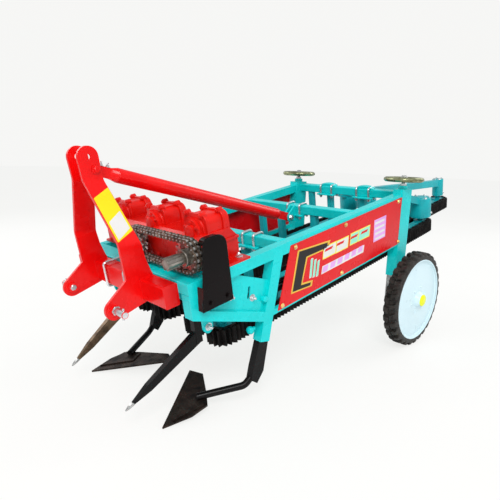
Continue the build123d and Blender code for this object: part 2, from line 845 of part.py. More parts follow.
# Double roller chain round both sprockets, one closed loop
chain_radius = sprocket_radius + u_bolt_gap
with BuildPart() as drive_chain:
    with BuildSketch(chain_plane(drive_s - drive_chain_width / 2)):
        with Locations((-side_sprocket_x / 2, drive_n)):
            SlotCenterToCenter(side_sprocket_x, 2 * (chain_radius + drive_chain_thickness))
            SlotCenterToCenter(side_sprocket_x, 2 * chain_radius, mode=Mode.SUBTRACT)
    extrude(amount=drive_chain_width)
drive_chain.part.label = "drive_chain"
export_step(drive_chain.part, "parts/drive_chain.step")

# Chain guard: a black sheet outside the near rail, turned in along its top, back and bottom
guard_outline = [
    (guard_front_bottom_s, guard_bottom_n),
    (guard_front_top_s, guard_top_n),
    (guard_rear_s - guard_corner, guard_top_n),
    (guard_rear_s, guard_top_n - guard_corner),
    (guard_rear_s, guard_bottom_n),
]
with BuildPart() as guard:
    with BuildSketch(side_plane(half + guard_gap)):
        with BuildLine():
            Polyline(*guard_outline, close=True)
        make_face()
    extrude(amount=guard_depth)
    with BuildSketch(side_plane(half + guard_gap)):
        with BuildLine():
            Polyline(
                (guard_front_bottom_s - guard_depth, guard_bottom_n + guard_sheet),
                (guard_front_bottom_s - guard_depth, guard_top_n - guard_sheet),
                (guard_rear_s - guard_corner - guard_sheet / 2, guard_top_n - guard_sheet),
                (guard_rear_s - guard_sheet, guard_top_n - guard_corner - guard_sheet / 2),
                (guard_rear_s - guard_sheet, guard_bottom_n + guard_sheet),
                close=True,
            )
        make_face()
    extrude(amount=guard_depth - guard_sheet, mode=Mode.SUBTRACT)
guard.part.label = "chain_guard"
export_step(guard.part, "parts/chain_guard.step")


def loop_walk(length, radius, distance):
    """Point and outward normal at a distance along a slot-shaped loop of the given radius."""
    arc = pi * radius
    total = 2 * length + 2 * arc
    d = distance % total
    if d < length:
        return (radius, d, 1.0, 0.0)
    d -= length
    if d < arc:
        turn = d / radius
        return (radius * cos(turn), length + radius * sin(turn), cos(turn), sin(turn))
    d -= arc
    if d < length:
        return (-radius, length - d, -1.0, 0.0)
    d -= length
    turn = pi + d / radius
    return (radius * cos(turn), radius * sin(turn), cos(turn), sin(turn))


# Clamping chains: closed bands whose outer edge is a row of saw teeth
for name, loop_x, rear_s, housing_radius in clamp_loops:
    front_s = clamp_front_s
    length = rear_s - front_s
    band_radius = clamp_inner_radius + clamp_band
    perimeter = 2 * length + 2 * pi * band_radius
    tooth_count = round(perimeter / clamp_pitch)
    step = perimeter / tooth_count
    outline = []
    for index in range(tooth_count):
        for lift, shift in ((0.0, 0.0), (clamp_tooth, 0.62)):
            x, y, out_x, out_y = loop_walk(length, band_radius, (index + shift) * step)
            outline.append((loop_x + x + lift * out_x, front_s + y + lift * out_y))
    with BuildPart() as clamp_chain:
        with BuildSketch(deck_plane(clamp_bottom_n)):
            with BuildLine():
                Polyline(*outline, close=True)
            make_face()
            with Locations((loop_x, front_s + length / 2)):
                SlotCenterToCenter(length, 2 * clamp_inner_radius, rotation=90, mode=Mode.SUBTRACT)
        extrude(amount=clamp_height)
    clamp_chain.part.label = "clamp_chain_" + name
    export_step(clamp_chain.part, "parts/clamp_chain_" + name + ".step")

# Chain carriers: inside each loop a guide bar with its front roller and rear sprocket, hung from
# the cross tubes, and at the rear a bearing housing on an arm from the rear cross tube
clamp_top_n = clamp_bottom_n + clamp_height
guide_bottom_n = clamp_bottom_n + (clamp_height - guide_bar_height) / 2
roller_radius = clamp_inner_radius - clamp_roller_gap
hanger_front_edge = ((front_hanger_s, -rail_size), (clamp_front_s - hanger_half, clamp_top_n + 20))
rear_face_s = rear_cross_s + rail_size
for name, loop_x, rear_s, housing_radius in clamp_loops:
    front_s = clamp_front_s
    with BuildPart() as carrier:
        with BuildSketch(deck_plane(guide_bottom_n)):
            with Locations((loop_x, (front_s + rear_s) / 2)):
                Rectangle(guide_bar_width, rear_s - front_s)
        extrude(amount=guide_bar_height)
        with BuildSketch(deck_plane(clamp_bottom_n + 6)):
            with Locations((loop_x, front_s), (loop_x, rear_s)):
                Circle(roller_radius)
        extrude(amount=clamp_height - 12)
        for tube_s in (front_cross_s, mid_cross_s, rear_cross_s):
            with BuildSketch(deck_plane(guide_bottom_n + guide_bar_height / 2)):
                with Locations((loop_x, tube_s + rail_size / 2)):
                    Rectangle(hanger_size, hanger_size)
            extrude(amount=-rail_size - guide_bottom_n - guide_bar_height / 2)
        with BuildSketch(side_plane(loop_x - hanger_size / 2)):
            with BuildLine():
                Polyline(
                    hanger_front_edge[0],
                    (front_hanger_s + 40, -rail_size),
                    (front_s + hanger_half, clamp_top_n + 34),
                    (front_s + hanger_half, clamp_top_n - hanger_foot),
                    (front_s - hanger_half, clamp_top_n - hanger_foot),
                    hanger_front_edge[1],
                    close=True,
                )
            make_face()
        extrude(amount=hanger_size)
        housing_bottom = clamp_top_n + rear_housing_gap
        with BuildSketch(deck_plane(clamp_top_n - hanger_foot)):
            with Locations((loop_x, rear_s)):
                Circle(spindle_radius)
        extrude(amount=rear_housing_gap + 2 * hanger_foot)
        with BuildSketch(deck_plane(housing_bottom)):
            with Locations((loop_x, rear_s)):
                Circle(housing_radius)
        extrude(amount=rear_housing_height)
        with BuildSketch(side_plane(loop_x - arm_size / 2)):
            with BuildLine():
                Polyline(
                    (rear_face_s, -2),
                    (rear_s, housing_bottom + rear_housing_height - 6),
                    (rear_s, housing_bottom + rear_housing_height - 6 - arm_size),
                    (rear_face_s, -2 - arm_size),
                    close=True,
                )
            make_face()
        extrude(amount=arm_size)
    carrier.part.label = "chain_carrier_" + name
    export_step(carrier.part, "parts/chain_carrier_" + name + ".step")

# Shovel blades: a swept wing on each side, its cutting edge running back towards the middle
for side, sign in sides:
    tilt_dir = (0, -sin(radians(blade_tilt)), cos(radians(blade_tilt)))
    blade_plane = Plane(origin=(0, frame_front_y + blade_tip_y, 0), x_dir=(1, 0, 0), z_dir=tilt_dir)
    with BuildPart() as blade:
        with BuildSketch(blade_plane):
            with BuildLine():
                Polyline(
                    (sign * blade_tip_x, 0),
                    (sign * (blade_tip_x + 27), 100),
                    (sign * (blade_tip_x + 22), 172),
                    (sign * (blade_tip_x - 34), 212),
                    (sign * (blade_tip_x - 142), 280),
                    (sign * (blade_tip_x - 204), 262),
                    close=True,
                )
            make_face()
        extrude(amount=blade_thickness)
        with BuildSketch(blade_plane.offset(blade_thickness)):
            with BuildLine():
                Polyline(
                    (sign * (blade_tip_x + 4), 40),
                    (sign * (blade_tip_x + 18), 160),
                    (sign * (blade_tip_x - 46), 202),
                    (sign * (blade_tip_x - 74), 150),
                    close=True,
                )
            make_face()
        extrude(amount=blade_rib)
    blade.part.label = "shovel_blade_" + side
    export_step(blade.part, "parts/shovel_blade_" + side + ".step")

# Shovel shanks: a flat leg under the foot of each raked post, and a round bar that sweeps in to
# the top of the blade
foot_front = floor_point(*post_front_line[0])
foot_rear = floor_point(*post_rear_line[0])
blade_top_z = shank_seat * sin(radians(blade_tilt)) / cos(radians(blade_tilt))
bar_end_z = blade_top_z + (blade_thickness + blade_rib) / cos(radians(blade_tilt)) + shank_bar_radius - 4
bar_start = ((foot_front[0] + foot_rear[0]) / 2 + leg_drop_y - 12, foot_front[1] + leg_drop_z - 14)
bar_turn = (bar_start[0] - bar_start_run, bar_start[1] - bar_start_run)
for side, sign in sides:
    shank_x = sign * (half - rail_size / 2)
    bar_end_x = sign * (blade_tip_x - bar_end_inset)
    bar_end = Vector(bar_end_x, frame_front_y + blade_tip_y + shank_seat, bar_end_z)
    with BuildPart() as shank:
        with BuildSketch(upright_plane(shank_x - shank_thickness / 2)):
            with BuildLine():
                Polyline(
                    foot_front,
                    foot_rear,
                    (foot_rear[0] + leg_drop_y + 6, foot_rear[1] + leg_drop_z),
                    (foot_rear[0] + 2 * leg_drop_y, foot_rear[1] + leg_drop_z - 40),
                    (foot_front[0] + 1.4 * leg_drop_y, foot_front[1] + leg_drop_z - 28),
                    (foot_front[0] + leg_drop_y, foot_front[1] + leg_drop_z + 20),
                    close=True,
                )
            make_face()
        extrude(amount=shank_thickness)
        with BuildLine():
            FilletPolyline(
                (shank_x, frame_front_y + bar_start[0], bar_start[1]),
                (shank_x - sign * 6, frame_front_y + bar_turn[0], bar_turn[1]),
                bar_end,
                radius=shank_bend,
            )
        with BuildSketch(
            Plane(
                origin=(shank_x, frame_front_y + bar_start[0], bar_start[1]),
                x_dir=(1, 0, 0),
                z_dir=(-sign * 6, -bar_start_run, -bar_start_run),
            )
        ):
            Circle(shank_bar_radius)
        sweep()
        split(bisect_by=blade_plane.offset(blade_thickness + blade_rib), keep=Keep.TOP)
    shank.part.label = "shovel_shank_" + side
    export_step(shank.part, "parts/shovel_shank_" + side + ".step")

# Vine lifters: a tapered pointed bar ahead of each outer chain, on a strap from the chain's hanger
strap_top = (on_line(*hanger_front_edge, s=strap_front_s), on_line(*hanger_front_edge, s=strap_rear_s))
for side, sign in sides:
    lifter_x = sign * clamp_loops[0][1]
    root_y, root_z = floor_point((strap_front_s + strap_rear_s) / 2, strap_bottom_n + lifter_root_width / 2)
    root = Vector(lifter_x, frame_front_y + root_y, root_z)
    tip = Vector(sign * lifter_tip_x, frame_front_y + lifter_tip_y, lifter_tip_z)
    run = (tip - root).length
    root_plane = Plane(origin=root, x_dir=(1, 0, 0), z_dir=tip - root)
    with BuildPart() as lifter:
        with BuildSketch(side_plane(lifter_x - lifter_thickness / 2)):
            with BuildLine():
                Polyline(
                    strap_top[0],
                    strap_top[1],
                    (strap_rear_s, strap_bottom_n),
                    (strap_front_s, strap_bottom_n),
                    close=True,
                )
            make_face()
        extrude(amount=lifter_thickness)
        with BuildSketch(root_plane):
            Rectangle(lifter_thickness, lifter_root_width)
        with BuildSketch(root_plane.offset(run * 0.7)):
            Rectangle(lifter_thickness * 0.8, lifter_root_width * 0.6)
        with BuildSketch(root_plane.offset(run)):
            Rectangle(lifter_point, lifter_point)
        loft(ruled=True)
    lifter.part.label = "vine_lifter_" + side
    export_step(lifter.part, "parts/vine_lifter_" + side + ".step")
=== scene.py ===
import math

import bpy
import numpy as np
from mathutils import Matrix, Vector


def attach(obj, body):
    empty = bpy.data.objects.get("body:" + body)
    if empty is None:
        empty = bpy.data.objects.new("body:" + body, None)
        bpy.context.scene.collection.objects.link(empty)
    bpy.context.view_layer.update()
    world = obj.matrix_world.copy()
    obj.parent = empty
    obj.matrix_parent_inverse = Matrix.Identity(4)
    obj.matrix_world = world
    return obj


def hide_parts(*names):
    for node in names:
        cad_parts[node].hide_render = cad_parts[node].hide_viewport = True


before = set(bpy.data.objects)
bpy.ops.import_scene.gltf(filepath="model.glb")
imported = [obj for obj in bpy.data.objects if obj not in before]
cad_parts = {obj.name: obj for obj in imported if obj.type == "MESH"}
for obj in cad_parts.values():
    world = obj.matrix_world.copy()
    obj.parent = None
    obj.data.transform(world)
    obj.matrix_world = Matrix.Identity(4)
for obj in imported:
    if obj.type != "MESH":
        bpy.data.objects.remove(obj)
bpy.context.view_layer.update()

# The frame, in metres, as in the model: its upper front corner, slope, half width and square tube
FRONT_Y = -1.044
CORNER_Z = 0.503
RISE = math.radians(10.5)
RISE_COS = math.cos(RISE)
RISE_SIN = math.sin(RISE)
HALF = 0.350
TUBE = 0.040
FRONT_TUBE_S, MID_TUBE_S, REAR_TUBE_S = 0.441, 0.887, 1.298
LEG_Y = FRONT_Y + 1.290
LEG_X = HALF - 0.021
AXLE_Z = 0.231
SIDES = (("near", 1), ("far", -1))


def slope(x, s, n):
    """A point x across, s up the frame's slope and n square to it."""
    return Vector((x, FRONT_Y + s * RISE_COS - n * RISE_SIN, CORNER_Z + s * RISE_SIN + n * RISE_COS))


UP_SLOPE = Vector((0, RISE_COS, RISE_SIN))
OFF_SLOPE = Vector((0, -RISE_SIN, RISE_COS))
SIDEWAYS = Vector((1, 0, 0))
UPWARD = Vector((0, 0, 1))


# Materials
def new_material(name):
    material = bpy.data.materials.new(name)
    material.use_nodes = True
    tree = material.node_tree
    tree.nodes.clear()
    output = tree.nodes.new("ShaderNodeOutputMaterial")
    shader = tree.nodes.new("ShaderNodeBsdfPrincipled")
    tree.links.new(shader.outputs[0], output.inputs[0])
    return material, tree, shader


def object_noise(tree, scale, detail=4.0, roughness=0.55):
    coordinates = tree.nodes.new("ShaderNodeTexCoord")
    noise = tree.nodes.new("ShaderNodeTexNoise")
    noise.inputs["Scale"].default_value = scale
    noise.inputs["Detail"].default_value = detail
    noise.inputs["Roughness"].default_value = roughness
    tree.links.new(coordinates.outputs["Object"], noise.inputs["Vector"])
    return noise.outputs["Fac"]


def ramp(tree, source, stops):
    node = tree.nodes.new("ShaderNodeValToRGB")
    elements = node.color_ramp.elements
    while len(elements) < len(stops):
        elements.new(0.5)
    for element, (position, colour) in zip(elements, stops):
        element.position = position
        element.color = (*colour, 1.0)
    tree.links.new(source, node.inputs[0])
    return node.outputs[0]


def spread(tree, source, low, high, start=0.35, end=0.65):
    node = tree.nodes.new("ShaderNodeMapRange")
    node.inputs["From Min"].default_value = start
    node.inputs["From Max"].default_value = end
    node.inputs["To Min"].default_value = low
    node.inputs["To Max"].default_value = high
    tree.links.new(source, node.inputs["Value"])
    return node.outputs["Result"]


def bump(tree, shader, source, strength, distance):
    node = tree.nodes.new("ShaderNodeBump")
    node.inputs["Strength"].default_value = strength
    node.inputs["Distance"].default_value = distance
    tree.links.new(source, node.inputs["Height"])
    tree.links.new(node.outputs["Normal"], shader.inputs["Normal"])


def mix_colour(tree, factor, first, second):
    node = tree.nodes.new("ShaderNodeMix")
    node.data_type = "RGBA"
    tree.links.new(factor, node.inputs[0])
    for socket, colour in ((node.inputs[6], first), (node.inputs[7], second)):
        if isinstance(colour, tuple):
            socket.default_value = (*colour, 1.0)
        else:
            tree.links.new(colour, socket)
    return node.outputs[2]


def times(tree, source, factor):
    node = tree.nodes.new("ShaderNodeMath")
    node.operation = "MULTIPLY"
    node.inputs[1].default_value = factor
    tree.links.new(source, node.inputs[0])
    return node.outputs[0]


def worn_edges(tree, radius):
    """1 along sharp edges and 0 on the flats, from the turn of the rounded normal."""
    bevel = tree.nodes.new("ShaderNodeBevel")
    bevel.samples = 4
    bevel.inputs["Radius"].default_value = radius
    geometry = tree.nodes.new("ShaderNodeNewGeometry")
    product = tree.nodes.new("ShaderNodeVectorMath")
    product.operation = "DOT_PRODUCT"
    tree.links.new(bevel.outputs[0], product.inputs[0])
    tree.links.new(geometry.outputs["Normal"], product.inputs[1])
    return spread(tree, product.outputs["Value"], 1.0, 0.0, 0.72, 0.99)


def paint(name, colour, dark, roughness=0.28, dirt=0.25, gloss=0.28, wear=0.35):
    """Glossy machine enamel: orange peel, a little tone change and thinner paint on the edges."""
    material, tree, shader = new_material(name)
    tone = object_noise(tree, 7.0, 5.0)
    base = ramp(tree, tone, [(0.30, dark), (0.62, colour)])
    specks = object_noise(tree, 95.0, 3.0)
    dust = spread(tree, specks, 0.0, dirt, 0.60, 0.72)
    dusty = mix_colour(tree, dust, base, tuple(c * 0.45 for c in colour))
    edge = times(tree, worn_edges(tree, 0.0016), wear)
    bright = tuple(min(1.0, c * 1.25 + 0.10) for c in colour)
    tree.links.new(mix_colour(tree, edge, dusty, bright), shader.inputs["Base Color"])
    tree.links.new(spread(tree, tone, roughness - 0.07, roughness + 0.10), shader.inputs["Roughness"])
    shader.inputs["Specular IOR Level"].default_value = gloss
    shader.inputs["Coat Weight"].default_value = 0.05
    shader.inputs["Coat Roughness"].default_value = 0.10
    bump(tree, shader, object_noise(tree, 260.0, 2.0), 0.10, 0.0006)
    return material


def bare_metal(name, colour, dark, roughness=0.34, grain=140.0, metallic=0.9, gloss=0.5):
    material, tree, shader = new_material(name)
    tone = object_noise(tree, 26.0, 6.0, 0.6)
    tree.links.new(ramp(tree, tone, [(0.33, dark), (0.60, colour)]), shader.inputs["Base Color"])
    tree.links.new(spread(tree, tone, roughness + 0.14, roughness - 0.08), shader.inputs["Roughness"])
    shader.inputs["Metallic"].default_value = metallic
    shader.inputs["Specular IOR Level"].default_value = gloss
    bump(tree, shader, object_noise(tree, grain, 5.0, 0.65), 0.22, 0.0008)
    return material


def rubber(name):
    material, tree, shader = new_material(name)
    tone = object_noise(tree, 40.0, 5.0)
    stops = [(0.32, (0.008, 0.007, 0.006)), (0.66, (0.046, 0.039, 0.033))]
    tree.links.new(ramp(tree, tone, stops), shader.inputs["Base Color"])
    tree.links.new(spread(tree, tone, 0.42, 0.62), shader.inputs["Roughness"])
    shader.inputs["Specular IOR Level"].default_value = 0.30
    bump(tree, shader, object_noise(tree, 420.0, 3.0), 0.25, 0.0006)
    return material


TEAL = paint("frame_teal", (0.003, 0.700, 0.700), (0.002, 0.620, 0.610), 0.26)
PANEL_RED = paint("panel_red", (0.780, 0.003, 0.006), (0.700, 0.002, 0.004), 0.24, 0.08)
HITCH_RED = paint("hitch_red", (0.880, 0.003, 0.003), (0.780, 0.002, 0.002), 0.24)
CASING_RED = paint("casing_red", (0.800, 0.008, 0.003), (0.560, 0.003, 0.002), 0.27)
DISC_WHITE = paint("disc_white", (0.720, 0.900, 0.950), (0.660, 0.850, 0.910), 0.30, 0.06)
CARRIER = paint("carrier_blue", (0.006, 0.480, 0.520), (0.004, 0.330, 0.370), 0.32)
BLACK = paint("tool_black", (0.007, 0.006, 0.006), (0.003, 0.003, 0.003), 0.24, 0.25, 0.13, 0.10)
GUARD = paint("guard_black", (0.004, 0.002, 0.002), (0.002, 0.001, 0.001), 0.20, 0.1, 0.10, 0.06)
# Near-black red: painted shade that stands in for the shaded inside of the chain guard's open front
GUARD_PAINTED_SHADE = paint("guard_inside_painted_shade", (0.060, 0.004, 0.003), (0.030, 0.002, 0.002), 0.24, 0.1, 0.12, 0.05)
BLADE_STEEL = bare_metal("blade_steel", (0.060, 0.042, 0.034), (0.008, 0.007, 0.007), 0.30, 60.0, 0.55, 0.15)
LIFTER = bare_metal("lifter_bronze", (0.185, 0.120, 0.070), (0.050, 0.032, 0.020), 0.36, 60.0, 0.8)
CLAMP = bare_metal("clamp_black", (0.016, 0.013, 0.012), (0.003, 0.003, 0.003), 0.40, 90.0, 0.3, 0.12)
CHAIN = bare_metal("chain_steel", (0.22, 0.165, 0.125), (0.045, 0.032, 0.026), 0.34, 120.0, 0.85)
STEEL = bare_metal("machined_steel", (0.60, 0.60, 0.58), (0.30, 0.30, 0.30), 0.28)
SHAFT = bare_metal("shaft_steel", (0.36, 0.33, 0.29), (0.12, 0.10, 0.08), 0.30)
ZINC = bare_metal("zinc_bolts", (0.78, 0.79, 0.80), (0.50, 0.50, 0.50), 0.26)
HANDWHEEL = bare_metal("handwheel_zinc", (0.40, 0.42, 0.24), (0.12, 0.13, 0.06), 0.30)
RUBBER = rubber("tyre_rubber")

LOOKS = {
    TEAL: ["side_frame_near", "side_frame_far", "gusset_near", "gusset_far", "front_beam"]
    + ["front_cross_tube", "mid_cross_tube", "rear_cross_tube", "leg_sleeve_near", "leg_sleeve_far"],
    PANEL_RED: ["side_panel_near", "side_panel_far"],
    HITCH_RED: ["mast_plate_near", "mast_plate_far", "hitch_beam", "brace_tube"],
    CASING_RED: ["gearbox_housing"],
    DISC_WHITE: ["wheel_disc_near", "wheel_disc_far"],
    CARRIER: ["chain_carrier_outer_near", "chain_carrier_inner_near"]
    + ["chain_carrier_inner_far", "chain_carrier_outer_far"],
    BLACK: ["shovel_shank_near", "shovel_shank_far", "vine_lifter_near"],
    BLADE_STEEL: ["shovel_blade_near", "shovel_blade_far"],
    GUARD: ["chain_guard"],
    LIFTER: ["vine_lifter_far"],
    CLAMP: ["clamp_chain_outer_near", "clamp_chain_inner_near"]
    + ["clamp_chain_inner_far", "clamp_chain_outer_far"],
    CHAIN: ["drive_chain"],
    STEEL: ["input_shaft", "middle_sprocket", "wheel_leg_near", "wheel_leg_far"],
    ZINC: ["hitch_u_bolts", "brace_fittings"],
    HANDWHEEL: ["handwheel_near", "handwheel_far"],
    RUBBER: ["tyre_near", "tyre_far"],
}
for material, names in LOOKS.items():
    for name in names:
        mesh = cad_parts[name].data
        mesh.materials.clear()
        mesh.materials.append(material)

# Mesh building
def merged(parts):
    vertices, faces, start = [], [], 0
    for part_vertices, part_faces in parts:
        vertices.append(np.asarray(part_vertices, float).reshape(-1, 3))
        faces.extend([tuple(index + start for index in face) for face in part_faces])
        start += len(vertices[-1])
    return np.concatenate(vertices), faces


def piece(name, parts, material, body="machine", smooth=40.0, bevel=0.0, replaces=()):
    """One object from a list of (vertices, faces), with optional rounded edges."""
    vertices, faces = merged(parts)
    mesh = bpy.data.meshes.new(name)
    mesh.from_pydata([tuple(vertex) for vertex in vertices], [], faces)
    mesh.validate()
    obj = bpy.data.objects.new(name, mesh)
    bpy.context.scene.collection.objects.link(obj)
    mesh.materials.append(material)
    if bevel:
        modifier = obj.modifiers.new("edges", "BEVEL")
        modifier.width = bevel
        modifier.segments = 2
        modifier.limit_method = "ANGLE"
        modifier.angle_limit = math.radians(35)
    if smooth:
        mesh.shade_smooth()
        mesh.set_sharp_from_angle(angle=math.radians(smooth))
    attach(obj, body)
    if replaces:
        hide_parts(*replaces)
    return obj


def basis(axis):
    """Two directions square to an axis and to each other."""
    axis = Vector(axis).normalized()
    other = Vector((0, 0, 1)) if abs(axis.z) < 0.9 else Vector((1, 0, 0))
    u = other.cross(axis).normalized()
    return u, axis.cross(u)


def arc(across, up, radius, start, end, steps, tall=None):
    """Points of an arc round a place, or of half an ellipse, between two angles in degrees."""
    tall = radius if tall is None else tall
    turns = [math.radians(start + (end - start) * step / steps) for step in range(steps + 1)]
    return [(across + radius * math.cos(turn), up + tall * math.sin(turn)) for turn in turns]


def bolt_circle(count, radius, start):
    """Places evenly round a circle, the first at an angle in degrees."""
    return arc(0, 0, radius, start, start + 360, count)[:-1]


def rectangle(left, low, right, high):
    return [(left, low), (right, low), (right, high), (left, high)]


def ring(centre, side, up, radius, segments, phase=0.0):
    """Points of a circle in the directions side and up."""
    turns = [phase + 2 * math.pi * step / segments for step in range(segments)]
    return [centre + radius * (math.cos(turn) * side + math.sin(turn) * up) for turn in turns]


def ring_faces(rings, segments, closed=False):
    """Faces from each ring of points to the next. An open row of rings is capped at both ends."""
    faces = []
    for index in range(rings if closed else rings - 1):
        low, high = index * segments, (index + 1) % rings * segments
        for step in range(segments):
            after = (step + 1) % segments
            faces.append((low + step, low + after, high + after, high + step))
    if not closed:
        faces.append(tuple(reversed(range(segments))))
        faces.append(tuple(range((rings - 1) * segments, rings * segments)))
    return faces


def flipped(faces):
    return [tuple(reversed(face)) for face in faces]


def prism(outline, origin, u, v, w, depth):
    """An outline in directions u and v, extruded along w."""
    origin, u, v, w = (np.array(value, float) for value in (origin, u, v, w))
    flat = np.array([origin + a * u + b * v for a, b in outline])
    faces = ring_faces(2, len(outline))
    turning = float(np.dot(np.cross(u, v), w)) * depth
    area = sum(a[0] * b[1] - b[0] * a[1] for a, b in zip(outline, outline[1:] + outline[:1]))
    return np.concatenate([flat, flat + w * depth]), flipped(faces) if turning * area < 0 else faces


def side_sheet(outline, x, depth):
    """A sheet square to x, its outline in s and n."""
    return prism(outline, slope(x, 0, 0), UP_SLOPE, OFF_SLOPE, SIDEWAYS, depth)


def lathe(profile, origin, axis, segments=32, phase=0.0):
    """A profile of (radius, distance along the axis), turned round the axis. Its ends are closed."""
    axis = Vector(axis).normalized()
    u, v = basis(axis)
    vertices = []
    for radius, along in profile:
        vertices += ring(Vector(origin) + along * axis, u, v, radius, segments, phase)
    return vertices, ring_faces(len(profile), segments)


BEND_STEPS = 6


def tube(points, radius, segments=12):
    """A round bar along a line of points."""
    points = [Vector(point) for point in points]
    vertices, side = [], basis(points[1] - points[0])[0]
    for before, point, after in zip(points[:1] + points, points, points[1:] + points[-1:]):
        along = (after - before).normalized()
        side = (side - side.dot(along) * along).normalized()
        vertices += ring(point, side, along.cross(side), radius, segments)
    return vertices, ring_faces(len(points), segments)


def rounded_path(points, radius):
    """The points with each inner corner turned into an arc."""
    points = [Vector(point) for point in points]
    result = [points[0]]
    for before, corner, after in zip(points, points[1:], points[2:]):
        a, b = (before - corner).normalized(), (after - corner).normalized()
        angle = a.angle(b)
        reach = min(radius / math.tan(angle / 2), (before - corner).length / 2, (after - corner).length / 2)
        start, end = corner + a * reach, corner + b * reach
        for step in range(BEND_STEPS + 1):
            t = step / BEND_STEPS
            result.append((1 - t) ** 2 * start + 2 * t * (1 - t) * corner + t**2 * end)
    result.append(points[-1])
    return result


def thread(start, end, outer, inner, pitch):
    """Profile of a screw thread, with one ridge a pitch."""
    profile, along = [], start
    while along < end:
        profile += [(outer, along), (inner, along + pitch / 2)]
        along += pitch
    return profile


WASHER, BOLT_PITCH = 0.0018, 0.0016


def hex_bolt(place, axis, flats, height, washer=True, stub=0.0):
    """A hexagon head on a washer, with an optional thread end beyond it."""
    radius, base, parts = flats / math.sqrt(3), 0.0, []
    if washer:
        base = WASHER
        parts.append(lathe([(flats * 0.85, 0), (flats * 0.85, base)], place, axis, 20))
    head = [(radius, base), (radius, base + height * 0.85), (radius * 0.84, base + height)]
    parts.append(lathe(head, place, axis, 6))
    if stub:
        top = base + height
        parts.append(lathe(thread(top, top + stub, flats * 0.29, flats * 0.25, BOLT_PITCH), place, axis, 12))
    return parts


WELD_R, RIPPLE = 0.0035, 0.0045


def weld(start, end, radius=WELD_R):
    """A rippled weld bead between two points."""
    side, up = basis(end - start)
    last = 2 * max(4, int((end - start).length / RIPPLE))
    vertices = []
    for index in range(last + 1):
        swell = radius * (1.0 if index % 2 else 0.78) * (0.5 if index in (0, last) else 1.0)
        vertices += ring(start.lerp(end, index / last), side, up, swell, 8)
    return vertices, ring_faces(last + 1, 8)


def loop_length(length, radius):
    return 2 * length + 2 * math.pi * radius


def slot_walk(length, radius, distance):
    """Place across and along at a distance along a slot-shaped loop."""
    bend = math.pi * radius
    d = distance % loop_length(length, radius)
    if d < length:
        return radius, d
    d -= length
    if d < bend:
        return radius * math.cos(d / radius), length + radius * math.sin(d / radius)
    d -= bend
    if d < length:
        return -radius, length - d
    turn = math.pi + (d - length) / radius
    return radius * math.cos(turn), radius * math.sin(turn)


def links(length, radius, count, origin, across, along):
    """Each link of a slot-shaped chain: its number, first pin, direction and length."""
    step, pins = loop_length(length, radius) / count, []
    for index in range(count + 1):
        a, b = slot_walk(length, radius, index * step)
        pins.append(origin + a * across + b * along)
    for index, (here, there) in enumerate(zip(pins, pins[1:])):
        yield index, here, (there - here).normalized(), (there - here).length


def dumbbell(pitch, radius, waist, steps=6):
    """Outline of a chain's side plate between pins at 0 and pitch."""
    points = arc(0, 0, radius, 65, 295, steps) + [(pitch / 2, -waist)]
    return points + arc(pitch, 0, radius, -115, 115, steps) + [(pitch / 2, waist)]


def gear(teeth, tip, root, origin, axis, width, phase):
    """A toothed disc."""
    u, v = basis(axis)
    outline = []
    for index in range(teeth):
        for share, radius in ((-0.34, root), (-0.13, tip), (0.13, tip), (0.34, root)):
            turn = phase + 2 * math.pi * (index + share) / teeth
            outline.append((radius * math.cos(turn), radius * math.sin(turn)))
    return prism(outline, origin, u, v, Vector(axis).normalized(), width)


# Depth wheels: moulded tyre with two rows of lugs, rim line, hub cap and disc rivets
TYRE_IN, TYRE_OUT = 0.402, 0.468
TYRE_MIDDLE = (TYRE_IN + TYRE_OUT) / 2
RIM_R, SHOULDER_R, CROWN_R, CROWN_RISE = 0.196, 0.2120, 0.2180, 0.0005
LUGS, LUG_STEPS, LUG_TALL = 30, 16, 0.0125
ROW_SHIFT, LUG_SKEW, LUG_HALF, LUG_FLANK = 0.45, 0.22 / 0.030, 0.300, 0.060
GROOVE, GROOVE_FLANK, CROWN_HALF, CROWN_FALL = 0.0006, 0.0030, 0.0270, 0.005


def clamped(value):
    return min(1.0, max(0.0, value))


def lug_height(place, x, radius):
    """Height of the tread over the tyre's skin, at a place in lugs round the wheel."""
    if radius <= SHOULDER_R:
        return 0.0
    aside = abs(x - TYRE_MIDDLE)
    place = (place + (0.0 if x < TYRE_MIDDLE else ROW_SHIFT) + LUG_SKEW * aside) % 1.0
    block = clamped((LUG_HALF - abs(place - 0.5)) / LUG_FLANK)
    gap = clamped((aside - GROOVE) / GROOVE_FLANK)
    inside = 1.0 - clamped((aside - CROWN_HALF) / CROWN_FALL)
    return LUG_TALL * block * gap * (0.45 + 0.55 * inside)


def tyre_mesh(sign):
    profile = [(TYRE_IN, RIM_R), (TYRE_IN - 0.0010, 0.200), (TYRE_IN - 0.0016, 0.206), (TYRE_IN, 0.2110)]
    profile += [(TYRE_IN + 0.002, 0.2140), (TYRE_IN + 0.004, 0.2160), (TYRE_IN + 0.007, 0.2175)]
    profile += [(TYRE_IN + 0.010 + step * 0.0037, CROWN_R + CROWN_RISE * (step / 6)) for step in range(7)]
    profile += [(2 * TYRE_MIDDLE - x, radius) for x, radius in reversed(profile)]
    vertices, steps = [], LUGS * LUG_STEPS
    for index in range(steps):
        turn = 2 * math.pi * index / steps
        for x, radius in profile:
            r = radius + lug_height(index / LUG_STEPS, x, radius)
            vertices.append((sign * x, LEG_Y + r * math.cos(turn), AXLE_Z + r * math.sin(turn)))
    faces = ring_faces(steps, len(profile), closed=True)
    return vertices, faces if sign > 0 else flipped(faces)


